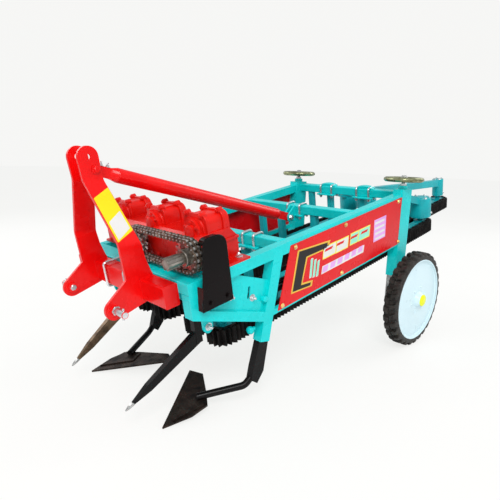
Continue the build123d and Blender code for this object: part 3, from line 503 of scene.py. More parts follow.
HUB_YELLOW = paint("hub_yellow", (0.930, 0.960, 0.020), (0.850, 0.860, 0.015), 0.30, 0.0)
CAP_X, RIM_LINE_X, DISC_X, RIVET_CIRCLE = 0.4855, 0.4655, 0.4625, 0.062
HUB_CAP = [(0.0285, -0.002), (0.0285, 0.002), (0.0265, 0.005), (0.020, 0.0075), (0.010, 0.0088)]
HUB_CAP += [(0.0015, 0.0090)]
RIM_LINE = [(0.1925, 0), (0.1965, 0.0012), (0.1965, 0.0040), (0.1935, 0.0052), (0.1905, 0.0030)]
RIM_LINE += [(0.1905, 0.0)]
RIVET = [(0.0062, 0), (0.0055, 0.0025), (0.003, 0.0042), (0.0005, 0.0046)]
for side, sign in SIDES:
    wheel, out = "wheel_" + side, SIDEWAYS * sign
    tread = [tyre_mesh(sign)]
    piece("tyre_tread_" + side, tread, RUBBER, wheel, smooth=30, replaces=("tyre_" + side,))
    cap = [lathe(HUB_CAP, (sign * CAP_X, LEG_Y, AXLE_Z), out, 40)]
    piece("hub_cap_" + side, cap, HUB_YELLOW, wheel)
    line_vertices, line_faces = lathe(RIM_LINE, (sign * RIM_LINE_X, LEG_Y, AXLE_Z), out, 120)
    rim_line = [(line_vertices, line_faces[:-2])]
    for y, z in bolt_circle(6, RIVET_CIRCLE, 15):
        rim_line.append(lathe(RIVET, (sign * DISC_X, LEG_Y + y, AXLE_Z + z), out, 16))
    piece("rim_line_" + side, rim_line, DISC_WHITE, wheel)

# Drive chain, its sprockets and the splined input shaft
DRIVE_MIDDLE = slope(0, 0.050, 0.068)
SPROCKET_X, PITCH_R, DRIVE_PITCH = 0.310, 0.0500, 0.01905
OUTER_ROWS, INNER_ROWS, LINK_PLATE = (-0.0170, -0.0012, 0.0148), (-0.0140, -0.0042, 0.0020, 0.0118), 0.0022
ROLLER = [(0.0058, -0.0122), (0.0058, 0.0122)]
LINK_PIN = [(0.0026, -0.0186), (0.0029, -0.0178), (0.0029, 0.0184)]
drive_plates, drive_rollers = [], []
link_count = 2 * round(loop_length(SPROCKET_X, PITCH_R) / DRIVE_PITCH / 2)
drive_links = links(SPROCKET_X, PITCH_R, link_count, DRIVE_MIDDLE, OFF_SLOPE, SIDEWAYS)
for index, here, along, reach in drive_links:
    outline, square = dumbbell(reach, 0.0078, 0.0056), along.cross(UP_SLOPE)
    for row in OUTER_ROWS if index % 2 else INNER_ROWS:
        place = here + UP_SLOPE * row
        drive_plates.append(prism(outline, place, along, square, UP_SLOPE, LINK_PLATE))
    drive_rollers.append(lathe(ROLLER, here, UP_SLOPE, 14))
    drive_rollers.append(lathe(LINK_PIN, here, UP_SLOPE, 10))
piece(
    "drive_chain_plates", drive_plates, CHAIN, replaces=("drive_chain",), bevel=0.0004
)
piece("drive_chain_rollers", drive_rollers, STEEL)

TEETH, TIP_R, ROOT_R, TOOTH_ROWS, TOOTH_WIDE = 16, 0.0560, 0.0455, (-0.0105, 0.0055), 0.0050
DRUM = [(ROOT_R, -0.0105), (ROOT_R, 0.0105)]
SPROCKET_HUB = [(0.0255, -0.0270), (0.0270, -0.0255), (0.0270, -0.0090)]
SHAFT_R, SPLINE_LONG = 0.0172, 0.052
SPLINE = [(0.0168, -0.0038), (0.0200, -0.0034), (0.0200, 0.0034), (0.0168, 0.0038)]
# Each sprocket: its name, place across, the solid it replaces, its shaft's front end and its splines
sprockets = [
    ("input_sprocket", SPROCKET_X, "input_shaft", -0.088, 6),
    ("middle_gear", 0.0, "middle_sprocket", -0.026, 0),
]
for name, x, node, front, splines in sprockets:
    centre = DRIVE_MIDDLE + SIDEWAYS * x
    shaft = [(0.0150, front), (SHAFT_R, front + 0.002), (SHAFT_R, 0.036)]
    turned = [lathe(DRUM, centre, UP_SLOPE, 48)]
    turned += [lathe(shape, centre, UP_SLOPE, 36) for shape in (SPROCKET_HUB, shaft)]
    for a, b in bolt_circle(splines, 1.0, 0) if splines else []:
        radial, tangent = a * SIDEWAYS + b * OFF_SLOPE, -b * SIDEWAYS + a * OFF_SLOPE
        turned.append(prism(SPLINE, centre + UP_SLOPE * front, radial, tangent, UP_SLOPE, SPLINE_LONG))
    teeth = []
    for row in TOOTH_ROWS:
        teeth.append(gear(TEETH, TIP_R, ROOT_R, centre + UP_SLOPE * row, UP_SLOPE, TOOTH_WIDE, 0.1))
    piece(name, turned, SHAFT, replaces=(node,), bevel=0.0005)
    piece(name + "_teeth", teeth, STEEL, bevel=0.0005)

# Chain guard: a folded sheet with a rounded top, open to the chain, and a bent return at its foot, coloured
# with painted shade
GUARD_IN, GUARD_OUT, SHEET, HEM_R = 0.3503, 0.3763, 0.003, 0.0024
GUARD_FOOT_N, GUARD_FRONT_S, GUARD_REAR_S, GUARD_TOP_N = -0.096, 0.026, 0.146, 0.104
guard_side = [(GUARD_FRONT_S, GUARD_FOOT_N), (0.058, GUARD_TOP_N)]
guard_side += arc(0.080, GUARD_TOP_N, 0.022, 170, 90, 6) + arc(0.112, 0.092, 0.034, 90, 0, 8)
guard_side += [(GUARD_REAR_S, GUARD_FOOT_N)]
guard_parts = [side_sheet(guard_side, GUARD_OUT - SHEET, SHEET)]
for a, b in zip(guard_side[2:], guard_side[3:]):
    a, b = Vector(a), Vector(b)
    edge = (b - a).normalized() * SHEET
    inward = Vector((edge.y, -edge.x))
    guard_parts.append(side_sheet([a, b, b + inward, a + inward], GUARD_IN, GUARD_OUT - GUARD_IN - SHEET))
guard_parts.append(tube([slope(GUARD_OUT - SHEET / 2, s, n) for s, n in guard_side], HEM_R, 10))
piece("guard_sheet", guard_parts, GUARD, smooth=35, replaces=("chain_guard",))
guard_return = [(GUARD_FRONT_S, GUARD_FOOT_N), (0.046, GUARD_FOOT_N), (0.046, GUARD_FOOT_N + SHEET)]
guard_return += [(0.0303, GUARD_FOOT_N + SHEET), (0.038, -0.020), (0.034, -0.020)]
# The return's near-black red is painted shade of the guard's inside, not the guard's paint colour
piece("guard_return", [side_sheet(guard_return, GUARD_IN, GUARD_OUT - GUARD_IN)], GUARD_PAINTED_SHADE, bevel=0.0006)
guard_bolts = []
for s in (0.060, 0.128):
    guard_bolts += hex_bolt(slope(GUARD_OUT, s, -0.076), SIDEWAYS, 0.0110, 0.0050)
piece("guard_bolts", guard_bolts, GUARD, smooth=30)

# Clamping chains: side plates, pins and saw-toothed clamping blocks
FRONT_S, BOTTOM_N, LOOP_TALL, LOOP_R, CLAMP_PITCH = 0.190, -0.292, 0.052, 0.049, 0.0381
TOOTH_OUT, TOOTH_ROOT, TOOTH_BACK, TOOTH_GAP = 0.014, 0.0010, -0.0085, 0.0006
TOOTH_DROP, TOOTH_TALL = 0.016, 0.062
PIN_BACK, PIN_PROUD, CLAMP_PIN_R, CLAMP_PLATE = 0.0050, 0.0008, 0.0030, 0.0028
# Each loop: its name, place across and rear roller's place up the slope
loops = [
    ("outer_near", 0.238, 1.684),
    ("inner_near", 0.106, 2.190),
    ("inner_far", -0.106, 1.684),
    ("outer_far", -0.238, 1.684),
]
for name, loop_x, rear_s in loops:
    length = rear_s - FRONT_S
    count = round(loop_length(length, LOOP_R) / CLAMP_PITCH)
    blocks, plates = [], []
    front = slope(loop_x, FRONT_S, BOTTOM_N)
    for index, here, along, reach in links(length, LOOP_R, count, front, SIDEWAYS, UP_SLOPE):
        outward = along.cross(OFF_SLOPE)
        tooth = [(TOOTH_GAP, TOOTH_BACK), (reach - TOOTH_GAP, TOOTH_BACK), (reach - TOOTH_GAP, 0.0)]
        tooth += [(0.84 * reach, TOOTH_OUT), (0.78 * reach, TOOTH_OUT), (0.52 * reach, TOOTH_ROOT)]
        tooth += [(0.34 * reach, TOOTH_OUT), (0.28 * reach, TOOTH_OUT), (TOOTH_GAP, TOOTH_ROOT)]
        low = here - OFF_SLOPE * TOOTH_DROP
        blocks.append(prism(tooth, low, along, outward, OFF_SLOPE, TOOTH_TALL))
        pin, outline = here - outward * PIN_BACK, dumbbell(reach, 0.0068, 0.0046, 5)
        inset = 0.0 if index % 2 else CLAMP_PLATE
        for level in (inset, LOOP_TALL - CLAMP_PLATE - inset):
            plates.append(prism(outline, pin + OFF_SLOPE * level, along, outward, OFF_SLOPE, CLAMP_PLATE))
        bar = [(CLAMP_PIN_R, -PIN_PROUD), (CLAMP_PIN_R, LOOP_TALL + PIN_PROUD)]
        plates.append(lathe(bar, pin, OFF_SLOPE, 8))
    node = "clamp_chain_" + name
    piece(node + "_teeth", blocks, CLAMP, replaces=(node,), bevel=0.0009)
    piece(node + "_plates", plates, CLAMP)

# U-bolts that hold the chain heads and the rear bearing arms to the cross tubes
HOOP_R, HOOP_OFF, HOOP_END_N, HOOP_BEND = 0.0052, 0.0058, -0.062, 0.012
SADDLE_N, SADDLE, SADDLE_SIDE, SADDLE_END = -0.0480, 0.0078, 0.020, 0.018
# Each cross tube: its front face up the slope, its U-bolts' places and whether arched plates sit on it
tube_places = [
    (FRONT_TUBE_S, (0.122, 0.184), False),
    (MID_TUBE_S, (-0.036, 0.038), False),
    (REAR_TUBE_S, (-0.152, -0.080, 0.080, 0.152), True),
]
hoops, hoop_nuts, saddles = [], [], []
for front_s, places, arched in tube_places:
    rear_s = front_s + TUBE
    ends = (front_s - HOOP_OFF, rear_s + HOOP_OFF)
    corners = [(ends[0], HOOP_END_N), (ends[0], HOOP_OFF), (ends[1], HOOP_OFF), (ends[1], HOOP_END_N)]
    for x in places:
        hoops.append(tube(rounded_path([slope(x, s, n) for s, n in corners], HOOP_BEND), HOOP_R))
        for s in ends:
            hoop_nuts += hex_bolt(slope(x, s, SADDLE_N - 0.0005), -OFF_SLOPE, 0.0145, 0.0075)
    for left, right in zip(places[::2], places[1::2]):
        plate = rectangle(left - SADDLE_SIDE, front_s - SADDLE_END, right + SADDLE_SIDE, rear_s + SADDLE_END)
        saddles.append(prism(plate, slope(0, 0, SADDLE_N), SIDEWAYS, UP_SLOPE, OFF_SLOPE, SADDLE))
        if arched:
            arch = arc((left + right) / 2, 0.0002, (right - left) / 2 + 0.014, 180, 0, 12, 0.0150)
            origin = slope(0, front_s + 0.004, 0)
            saddles.append(prism(arch, origin, SIDEWAYS, OFF_SLOPE, UP_SLOPE, TUBE - 0.008))
piece("tube_u_bolts", hoops, ZINC)
piece("tube_u_bolt_nuts", hoop_nuts, ZINC, smooth=30)
piece("tube_saddles", saddles, TEAL, bevel=0.0016)

# Handwheels: a cast rim with finger grips, curved spokes, hub, nut and threaded screw
SLEEVE_TOP_Z = CORNER_Z + (LEG_Y - FRONT_Y) * math.tan(RISE) + 0.006
WHEEL_Z = SLEEVE_TOP_Z + 0.052
WHEEL_R, RIM_WIDE, RIM_TALL, GRIP, GRIPS = 0.079, 0.0135, 0.0118, 0.0011, 12
SPOKE_TALL = 0.0090
HANDWHEEL_HUB = [(0.0165, -0.0120), (0.0180, -0.0105), (0.0180, 0.0105), (0.0160, 0.0120)]
LOCK_NUT = [(0.0140, 0), (0.0150, 0.001), (0.0150, 0.010), (0.0140, 0.011)]
LOCK_NUT_Z = SLEEVE_TOP_Z + 0.0222


def grip_rim(centre):
    """The rim, a little thicker at each finger grip."""
    vertices, around, across = [], 96, 14
    for index in range(around):
        turn = 2 * math.pi * index / around
        wide = RIM_WIDE + GRIP * math.cos(turn * GRIPS)
        for step in range(across):
            lean = 2 * math.pi * step / across
            radius = WHEEL_R + wide * math.cos(lean)
            height = RIM_TALL * math.sin(lean)
            vertices.append(centre + Vector((radius * math.cos(turn), radius * math.sin(turn), height)))
    return vertices, flipped(ring_faces(around, across, closed=True))


web = [(0.012, -0.0095), (0.030, -0.0075), (0.055, -0.0070), (0.073, -0.0100)]
web += [(along, -across) for along, across in reversed(web)]
for side, sign in SIDES:
    centre = Vector((sign * LEG_X, LEG_Y, WHEEL_Z))
    rim = [grip_rim(centre)]
    for x, y in bolt_circle(3, 1.0, 30):
        bottom = centre - UPWARD * (SPOKE_TALL / 2)
        rim.append(prism(web, bottom, Vector((x, y, 0)), Vector((-y, x, 0)), UPWARD, SPOKE_TALL))
    piece("handwheel_rim_" + side, rim, HANDWHEEL, replaces=("handwheel_" + side,))
    screw = thread(LOCK_NUT_Z + 0.0003 - WHEEL_Z, -0.0125, 0.0090, 0.0080, 0.0024)
    hub = [lathe(HANDWHEEL_HUB, centre, UPWARD, 36), lathe(screw, centre, UPWARD, 24)]
    piece("handwheel_hub_" + side, hub, STEEL)
    nut = hex_bolt(centre + UPWARD * 0.0120, UPWARD, 0.0190, 0.0060)
    piece("handwheel_nut_" + side, nut, ZINC, smooth=30)
    lock = [lathe(LOCK_NUT, (centre.x, centre.y, LOCK_NUT_Z), UPWARD, 6)]
    piece("screw_nut_" + side, lock, ZINC, smooth=30)

# Gearbox: flanges round each hump, ribs, bearing covers, foot bolts and plugs
HUMP_X, HUMP_HALF, HUMP_CORNER, HUMP_TOP_N, BODY_TOP_N = HALF - 0.115, 0.054, 0.030, 0.166, 0.108
BEARING_N, RIB_R, FLANGE, FLANGE_PROUD = 0.114, 0.047, 0.010, 0.006
EAR_X, EAR = 0.040, [(0.0098, 0), (0.0105, 0.001), (0.0105, 0.017), (0.0098, 0.018)]
BEARING_CAP = [(0.0235, -0.0015), (0.0215, -0.0035), (0.0120, -0.0048), (0.0015, -0.0050)]
PLUG = [(0.0120, 0), (0.0120, 0.006), (0.0090, 0.009), (0.0090, 0.016), (0.0070, 0.019)]


def hump_arch(width, top, base):
    """Outline of a hump's flange: up one side, over two rounded corners and down the other."""
    points = [(-width, base)]
    for side, start in ((-1, 180), (1, 90)):
        middle = side * (width - HUMP_CORNER)
        points += arc(middle, top - HUMP_CORNER, HUMP_CORNER, start, start - 90, BEND_STEPS)
    return points + [(width, base)]


casting, casing_bolts, covers = [], [], []
for hump_x in (-HUMP_X, 0.0, HUMP_X):
    for flange_s in (0.1415, 0.2100):
        outer = hump_arch(HUMP_HALF + FLANGE_PROUD, HUMP_TOP_N + FLANGE_PROUD, 0.102)
        casting.append(prism(outer, slope(hump_x, flange_s, 0), SIDEWAYS, OFF_SLOPE, UP_SLOPE, FLANGE))
        for side in (-1, 1):
            place = slope(hump_x + side * EAR_X, flange_s - 0.004, HUMP_TOP_N + 0.003)
            casting.append(lathe(EAR, place, UP_SLOPE, 20))
            casing_bolts += hex_bolt(place, -UP_SLOPE, 0.0100, 0.0050)
    for side, start, end in ((-1, 200, 125), (1, -20, 55)):
        rib = [slope(x, 0.1395, n) for x, n in arc(hump_x, BEARING_N, RIB_R, start, end, 6)]
        casting.append(tube(rib, 0.0042, 10))
        foot = [slope(hump_x + side * 0.046, 0.0935, n) for n in (0.012, 0.102)]
        casting.append(tube(foot, 0.0048, 10))
    for x, n in bolt_circle(6, 0.032, 30):
        casing_bolts += hex_bolt(slope(hump_x + x, 0.1220, BEARING_N + n), -UP_SLOPE, 0.0080, 0.0038)
    covers.append(lathe(BEARING_CAP, slope(hump_x, 0.1140, BEARING_N), UP_SLOPE, 32))
for x in np.linspace(-0.280, 0.280, 9):
    for n in (0.020, 0.100):
        casing_bolts += hex_bolt(slope(x, 0.0860, n), -UP_SLOPE, 0.0090, 0.0045)
joint = rectangle(-0.301, 0.0925, 0.301, 0.2655)
casting.append(prism(joint, slope(0, 0, 0.0650), SIDEWAYS, UP_SLOPE, OFF_SLOPE, FLANGE))
foot_bolts = []
for x in (-0.320, 0.320):
    for s in (0.118, 0.238):
        foot_bolts += hex_bolt(slope(x, s, 0.0080), OFF_SLOPE, 0.0160, 0.0085, stub=0.006)
for x in (-HUMP_X / 2, HUMP_X / 2):
    covers.append(lathe(PLUG, slope(x, 0.190, BODY_TOP_N), OFF_SLOPE, 6))
piece("gearbox_flanges", casting, CASING_RED, bevel=0.0014)
piece("gearbox_covers", covers, CASING_RED)
piece("gearbox_bolts", casing_bolts, CASING_RED, smooth=30)
piece("gearbox_foot_bolts", foot_bolts, ZINC, smooth=30)

# Gusset bolts and bosses, the post's knob, and the front hook ears with their bolts
GUSSET_X, KNOB_X, HOOK_X, HOOK, HOOK_PLATE_X, HOOK_PLATE = HALF - 0.014, 0.330, 0.296, 0.010, 0.288, 0.030
HOOK_S, HOOK_N = 0.085, -0.190
BOSS = [(0.011, 0), (0.011, 0.016), (0.008, 0.019), (0.001, 0.020)]
KNOB = [(0.007, 0), (0.007, 0.010), (0.013, 0.014), (0.015, 0.022), (0.012, 0.029), (0.002, 0.032)]
hook = arc(HOOK_S, HOOK_N, 0.020, 180, 360, 12, 0.024) + [(0.105, -0.150), (0.065, -0.150)]
hook_plate = rectangle(0.060, -0.152, 0.112, -0.138)
bolts, bosses = [], []
for sign in (1, -1):
    out = SIDEWAYS * sign
    for s, n in ((0.168, -0.108), (0.262, -0.148)):
        bolts += hex_bolt(slope(sign * GUSSET_X, s, n), out, 0.0150, 0.0080, stub=0.009)
    bosses.append(lathe(BOSS, slope(sign * GUSSET_X, 0.310, -0.170), out, 24))
    bosses.append(lathe(KNOB, slope(sign * KNOB_X, 0.262, -0.268), -UP_SLOPE, 28))
    bosses.append(side_sheet(hook, sign * HOOK_X, sign * HOOK))
    bosses.append(side_sheet(hook_plate, sign * HOOK_PLATE_X, sign * HOOK_PLATE))
    bolts += hex_bolt(slope(sign * (HOOK_X + HOOK), HOOK_S, HOOK_N), out, 0.0160, 0.0080, stub=0.010)
piece("frame_bolts", bolts, ZINC, smooth=30)
piece("frame_bosses", bosses, TEAL, bevel=0.0010)

# Lower hitch pins, each with a collar, a linch pin and a nut inside the plate
PIN_Z, PIN_Y, PIN_END_X, PIN_LONG, LINCH_IN, LINCH_HALF = 0.404, FRONT_Y - 0.135, 0.226, 0.060, 0.012, 0.019
HITCH_PIN = [(0.0113, 0), (0.0113, 0.056), (0.0095, 0.0603), (0.0010, 0.0606)]
PIN_COLLAR = [(0.0150, 0), (0.0156, 0.0006), (0.0156, 0.0060), (0.0146, 0.0068)]
pins = []
for sign in (1, -1):
    out = SIDEWAYS * sign
    end = Vector((sign * PIN_END_X, PIN_Y, PIN_Z))
    inner = end - out * PIN_LONG
    pins.append(lathe(HITCH_PIN, inner, out))
    pins.append(lathe(PIN_COLLAR, inner + out * 0.0005, out, 6))
    linch = [end - out * LINCH_IN + UPWARD * up for up in (LINCH_HALF, -LINCH_HALF)]
    pins.append(tube(linch, 0.0034, 10))
    pins += hex_bolt(inner - out * 0.0125, -out, 0.020, 0.009, False)
piece("hitch_pins", pins, ZINC)

# Brace: its front pin with painted heads, and the forked bracket on the middle cross tube
BRACE_EYE = Vector((0, FRONT_Y - 0.124, CORNER_Z + 0.324))
BRACE_REAR = Vector((0, FRONT_Y + 0.838, CORNER_Z + 0.108))
REAR_S = (BRACE_REAR - slope(0, 0, 0)).dot(UP_SLOPE)
REAR_N = (BRACE_REAR - slope(0, 0, 0)).dot(OFF_SLOPE)
BRACE_PIN_R, EYE_END, FORK_END, FORK_GAP, FORK_PLATE, FORK_WIDE = 0.0080, 0.052, 0.026, 0.008, 0.008, 0.034
FORK_BACK_S, FORK_LOW_N = MID_TUBE_S - FORK_PLATE, REAR_N - 0.030
front_pin = [lathe([(BRACE_PIN_R, -EYE_END), (BRACE_PIN_R, EYE_END)], BRACE_EYE, SIDEWAYS, 24)]
rear_pin = [lathe([(BRACE_PIN_R, -FORK_END), (BRACE_PIN_R, FORK_END)], BRACE_REAR, SIDEWAYS, 24)]
cheek = [(REAR_S - 0.018, REAR_N + 0.010), (REAR_S - 0.006, REAR_N + 0.022), (FORK_BACK_S, 0.006)]
cheek += [(FORK_BACK_S, FORK_LOW_N), (REAR_S - 0.006, REAR_N - 0.022), (REAR_S - 0.018, REAR_N - 0.010)]
fork = []
for sign in (1, -1):
    out = SIDEWAYS * sign
    front_pin += hex_bolt(BRACE_EYE + out * 0.0435, out, 0.0170, 0.0075)
    rear_pin += hex_bolt(BRACE_REAR + out * (FORK_GAP + FORK_PLATE + 0.0005), out, 0.0170, 0.0085)
    fork.append(side_sheet(cheek, sign * FORK_GAP, sign * FORK_PLATE))
back = rectangle(-FORK_WIDE, FORK_LOW_N, FORK_WIDE, 0.0)
fork.append(prism(back, slope(0, FORK_BACK_S, 0), SIDEWAYS, OFF_SLOPE, UP_SLOPE, FORK_PLATE))
brace_along = (BRACE_REAR - BRACE_EYE).normalized()
brace_up = SIDEWAYS.cross(brace_along)
eye_bolts = []
for along in (0.032, 0.056):
    place = BRACE_EYE + brace_along * along + brace_up * 0.0178
    eye_bolts += hex_bolt(place, brace_up, 0.0110, 0.0060, stub=0.007)
piece("brace_eye_bolts", eye_bolts, ZINC, smooth=30)
piece("brace_front_pin", front_pin, HITCH_RED, smooth=30, replaces=("brace_fittings",))
piece("brace_rear_pin", rear_pin, ZINC, smooth=30)
piece("brace_fork", fork, TEAL, bevel=0.0010)

# Blank field on the near mast plate: yellow above, white with a yellow edge below
# The plate's leaning part, each line by its upper and its lower end: (x, z), and (y, z) of two edges
MAST_LEAN = ((0.037, 0.792), (0.159, 0.604))
MAST_FRONT, MAST_BACK = ((-0.167, 0.792), (-0.120, 0.611)), ((-0.105, 0.813), (-0.039, 0.594))
MAST_FACE, FIELD_TURN, FIELD_CORNER = 0.0050, 0.031, 0.0030
lean = Vector((MAST_LEAN[0][0] - MAST_LEAN[1][0], 0, MAST_LEAN[0][1] - MAST_LEAN[1][1])).normalized()
mast_out = Vector((lean.z, 0, -lean.x))


def on_line(line, z):
    (high, high_z), (low, low_z) = line
    return high + (high_z - z) / (high_z - low_z) * (low - high)


def mast_point(share, z):
    """A point on the near mast plate's outer face: share 0 is its front edge and 1 its rear edge."""
    front_y, rear_y = on_line(MAST_FRONT, z), on_line(MAST_BACK, z)
    y = FRONT_Y + front_y + share * (rear_y - front_y)
    return Vector((on_line(MAST_LEAN, z), y, z)) + mast_out * MAST_FACE


def mast_patch(low_z, high_z, inset, lift):
    """A field across the plate, its ends square to the plate's long edges and its corners rounded."""
    corners = [mast_point(inset, low_z), mast_point(1 - inset, low_z + FIELD_TURN)]
    corners += [mast_point(1 - inset, high_z + FIELD_TURN), mast_point(inset, high_z)]
    edge = []
    for before, corner, after in zip(corners[-1:] + corners, corners, corners[1:] + corners[:1]):
        start = corner + (before - corner).normalized() * FIELD_CORNER
        end = corner + (after - corner).normalized() * FIELD_CORNER
        for turn in (0.0, 0.25, 0.5, 0.75, 1.0):
            edge.append(start.lerp(corner, turn).lerp(corner.lerp(end, turn), turn))
    vertices = edge + [point + mast_out * lift for point in edge]
    return [tuple(vertex) for vertex in vertices], ring_faces(2, len(edge))


FIELD_YELLOW = paint("field_yellow", (0.880, 0.740, 0.008), (0.820, 0.680, 0.006), 0.34, 0.05)
FIELD_WHITE = paint("field_white", (0.760, 0.740, 0.720), (0.700, 0.680, 0.650), 0.36, 0.05)
piece("mast_field_yellow", [mast_patch(0.610, 0.738, 0.03, 0.0006)], FIELD_YELLOW, bevel=0.0003)
piece("mast_field_white", [mast_patch(0.616, 0.668, 0.12, 0.0009)], FIELD_WHITE, bevel=0.0003)

# Side panel: plain blocks and stripes, and the bolts round its edge
PANEL_X = HALF + 0.003


def decal(name, outlines, material, lift):
    piece(name, [side_sheet(outline, PANEL_X, lift) for outline in outlines], material, smooth=0)


def slanted(s, n, length, height, slant=0.010):
    """A block whose top leans up the slope. Its place is that of its upper front corner, before the lean."""
    return [(s, n - height), (s + length, n - height), (s + length + slant, n), (s + slant, n)]


def grown(outline, amount):
    """The outline moved out from its middle by a fixed distance in s and in n."""
    middle = sum((Vector(point) for point in outline), Vector((0, 0))) / len(outline)
    offsets = [Vector(point) - middle for point in outline]
    return [
        (s + math.copysign(amount, offset.x), n + math.copysign(amount, offset.y))
        for (s, n), offset in zip(outline, offsets)
    ]


DECAL_BLACK = paint("decal_black", (0.012, 0.010, 0.010), (0.008, 0.007, 0.007), 0.34, 0.05)
DECAL_GOLD = paint("decal_gold", (0.830, 0.520, 0.060), (0.720, 0.420, 0.040), 0.34, 0.05)
DECAL_WHITE = paint("decal_white", (0.820, 0.810, 0.780), (0.760, 0.750, 0.720), 0.34, 0.04)
DECAL_YELLOW = paint("decal_yellow", (0.960, 0.860, 0.120), (0.900, 0.780, 0.080), 0.34, 0.04)
DECAL_LILAC = paint("decal_lilac", (0.830, 0.440, 0.860), (0.740, 0.340, 0.780), 0.34, 0.04)
DECAL_MINT = paint("decal_mint", (0.350, 0.860, 0.660), (0.280, 0.780, 0.580), 0.34, 0.04)
bracket_gold = [(0.496, -0.046), (0.694, -0.062), (0.676, -0.092), (0.548, -0.090)]
bracket_gold += [(0.508, -0.180), (0.570, -0.190), (0.562, -0.212), (0.440, -0.200)]
bracket_black = [(0.503, -0.052), (0.676, -0.067), (0.667, -0.086), (0.541, -0.084)]
bracket_black += [(0.499, -0.186), (0.558, -0.195), (0.553, -0.206), (0.449, -0.195)]
decal("panel_edge_gold", [bracket_gold], DECAL_GOLD, 0.0004)
decal("panel_edge_black", [bracket_black], DECAL_BLACK, 0.0006)
upper = [slanted(0.642, -0.082, 0.078, 0.042), slanted(0.728, -0.083, 0.078, 0.042)]
upper_late = [slanted(0.828, -0.080, 0.052, 0.042), slanted(0.888, -0.080, 0.082, 0.042)]
bars = [slanted(0.650 + 0.078 * i + (0.022 if i > 1 else 0), -0.090, 0.050, 0.010) for i in range(4)]
lower = [slanted(0.630 + 0.050 * i, -0.158 + 0.001 * i, 0.034, 0.024) for i in range(6)]
band = [slanted(0.624, -0.155, 0.300, 0.031)]
emblem = [slanted(0.552 + 0.020 * i, -0.104 - 0.010 * i, 0.013, 0.070 - 0.006 * i, 0.014) for i in range(3)]
decal("panel_row_yellow", [grown(o, 0.0045) for o in upper + upper_late], DECAL_YELLOW, 0.0004)
decal("panel_row_white", upper, DECAL_WHITE, 0.0006)
decal("panel_row_mint", upper_late, DECAL_MINT, 0.0006)
decal("panel_row_bars", bars, PANEL_RED, 0.0008)
decal("panel_band_white", band, DECAL_WHITE, 0.0004)
decal("panel_band_lilac", lower, DECAL_LILAC, 0.0006)
decal("panel_emblem_white", [grown(o, 0.0025) for o in emblem], DECAL_WHITE, 0.0004)
decal("panel_emblem_mint", emblem, DECAL_MINT, 0.0006)
block = slanted(1.006, -0.066, 0.100, 0.100, 0.012)
stripes = [slanted(1.020, -0.078 - 0.024 * i, 0.080, 0.010, 0.002) for i in range(4)]
decal("panel_block_lilac", [block], DECAL_LILAC, 0.0004)
decal("panel_block_white", stripes, DECAL_WHITE, 0.0007)

BRASS = bare_metal("brass_bolts", (0.90, 0.70, 0.34), (0.62, 0.45, 0.18), 0.30)
PANEL_TOP_N, PANEL_LOW_N = -0.028, -0.226
edge_places = [(s, PANEL_TOP_N) for s in (0.484, 0.800, 1.228)]
edge_places += [(s, PANEL_LOW_N) for s in (1.226, 0.760, 0.390)]
edge_bolts = []
for sign in (1, -1):
    for s, n in edge_places:
        edge_bolts += hex_bolt(slope(sign * PANEL_X, s, n), SIDEWAYS * sign, 0.0110, 0.0050)
piece("panel_bolts", edge_bolts, BRASS, smooth=30)

# Lifter tips, forged and ground bright
TIP_X, TIP_Y, TIP_Z = 0.206, FRONT_Y - 0.132, 0.080
LIFTER_X, ROOT_S, ROOT_N = 0.238, 0.081, -0.245
TIP = [(0.0016, -0.0008), (0.0040, 0.004), (0.0068, 0.016), (0.0080, 0.030), (0.0050, 0.034)]
for side, sign in SIDES:
    tip = Vector((sign * TIP_X, TIP_Y, TIP_Z))
    along = slope(sign * LIFTER_X, ROOT_S, ROOT_N) - tip
    piece("lifter_tip_" + side, [lathe(TIP, tip, along, 4, math.radians(45))], STEEL, bevel=0.0006)

# Bolts on the rear bearing housings, and the nuts under the end rollers
HOUSING_TOP_N, HOUSING_SIDE_N = -0.120, -0.208
housing_bolts, roller_nuts = [], []
for name, loop_x, rear_s in loops:
    radius, count = (0.033, 4) if name == "inner_near" else (0.056, 6)
    for x, s in bolt_circle(count, radius - 0.011, 180 / count):
        housing_bolts += hex_bolt(slope(loop_x + x, rear_s + s, HOUSING_TOP_N), OFF_SLOPE, 0.0110, 0.0060)
    for a, b in arc(0, 0, 1.0, 27.0, 151.2, 3):
        out = a * SIDEWAYS + b * UP_SLOPE
        place = slope(loop_x, rear_s, HOUSING_SIDE_N) + out * (radius - 0.0006)
        housing_bolts += hex_bolt(place, out, 0.0110, 0.0060)
    for s, lift in ((FRONT_S, 0.0005), (rear_s, 0.0055)):
        roller_nuts += hex_bolt(slope(loop_x, s, BOTTOM_N + lift), -OFF_SLOPE, 0.024, 0.012)
piece("housing_bolts", housing_bolts, ZINC, smooth=30)
piece("roller_nuts", roller_nuts, ZINC, smooth=30)

# Weld beads where the frame's and the hitch's pieces meet
BEAM_BACK_S, THIN_WELD_R = 0.0702, 0.0028
teal_welds, red_welds = [], []
for sign in (1, -1):
    inner = sign * (HALF - TUBE)
    for s in (FRONT_TUBE_S, MID_TUBE_S):
        for end_s in (s, s + TUBE):
            teal_welds.append(weld(slope(inner, end_s, -0.003), slope(inner, end_s, -0.037)))
        teal_welds.append(weld(slope(inner, s + 0.003, 0.0), slope(inner, s + 0.037, 0.0), THIN_WELD_R))
    for x in (sign * 0.311, sign * 0.349):
        teal_welds.append(weld(slope(x, BEAM_BACK_S, -0.004), slope(x, BEAM_BACK_S, -0.036)))
    ends = [slope(sign * x, BEAM_BACK_S, 0.0) for x in (0.314, 0.346)]
    teal_welds.append(weld(*ends, THIN_WELD_R))
    for y in (LEG_Y - 0.044, LEG_Y + 0.044):
        start = Vector((sign * 0.3045, y, SLEEVE_TOP_Z - 0.046))
        teal_welds.append(weld(start, start + UPWARD * 0.034))
    for n in (-0.008, -0.074):
        for x in (sign * 0.1665, sign * 0.1520):
            red_welds.append(weld(slope(x, -0.050, n), slope(x, -0.003, n)))
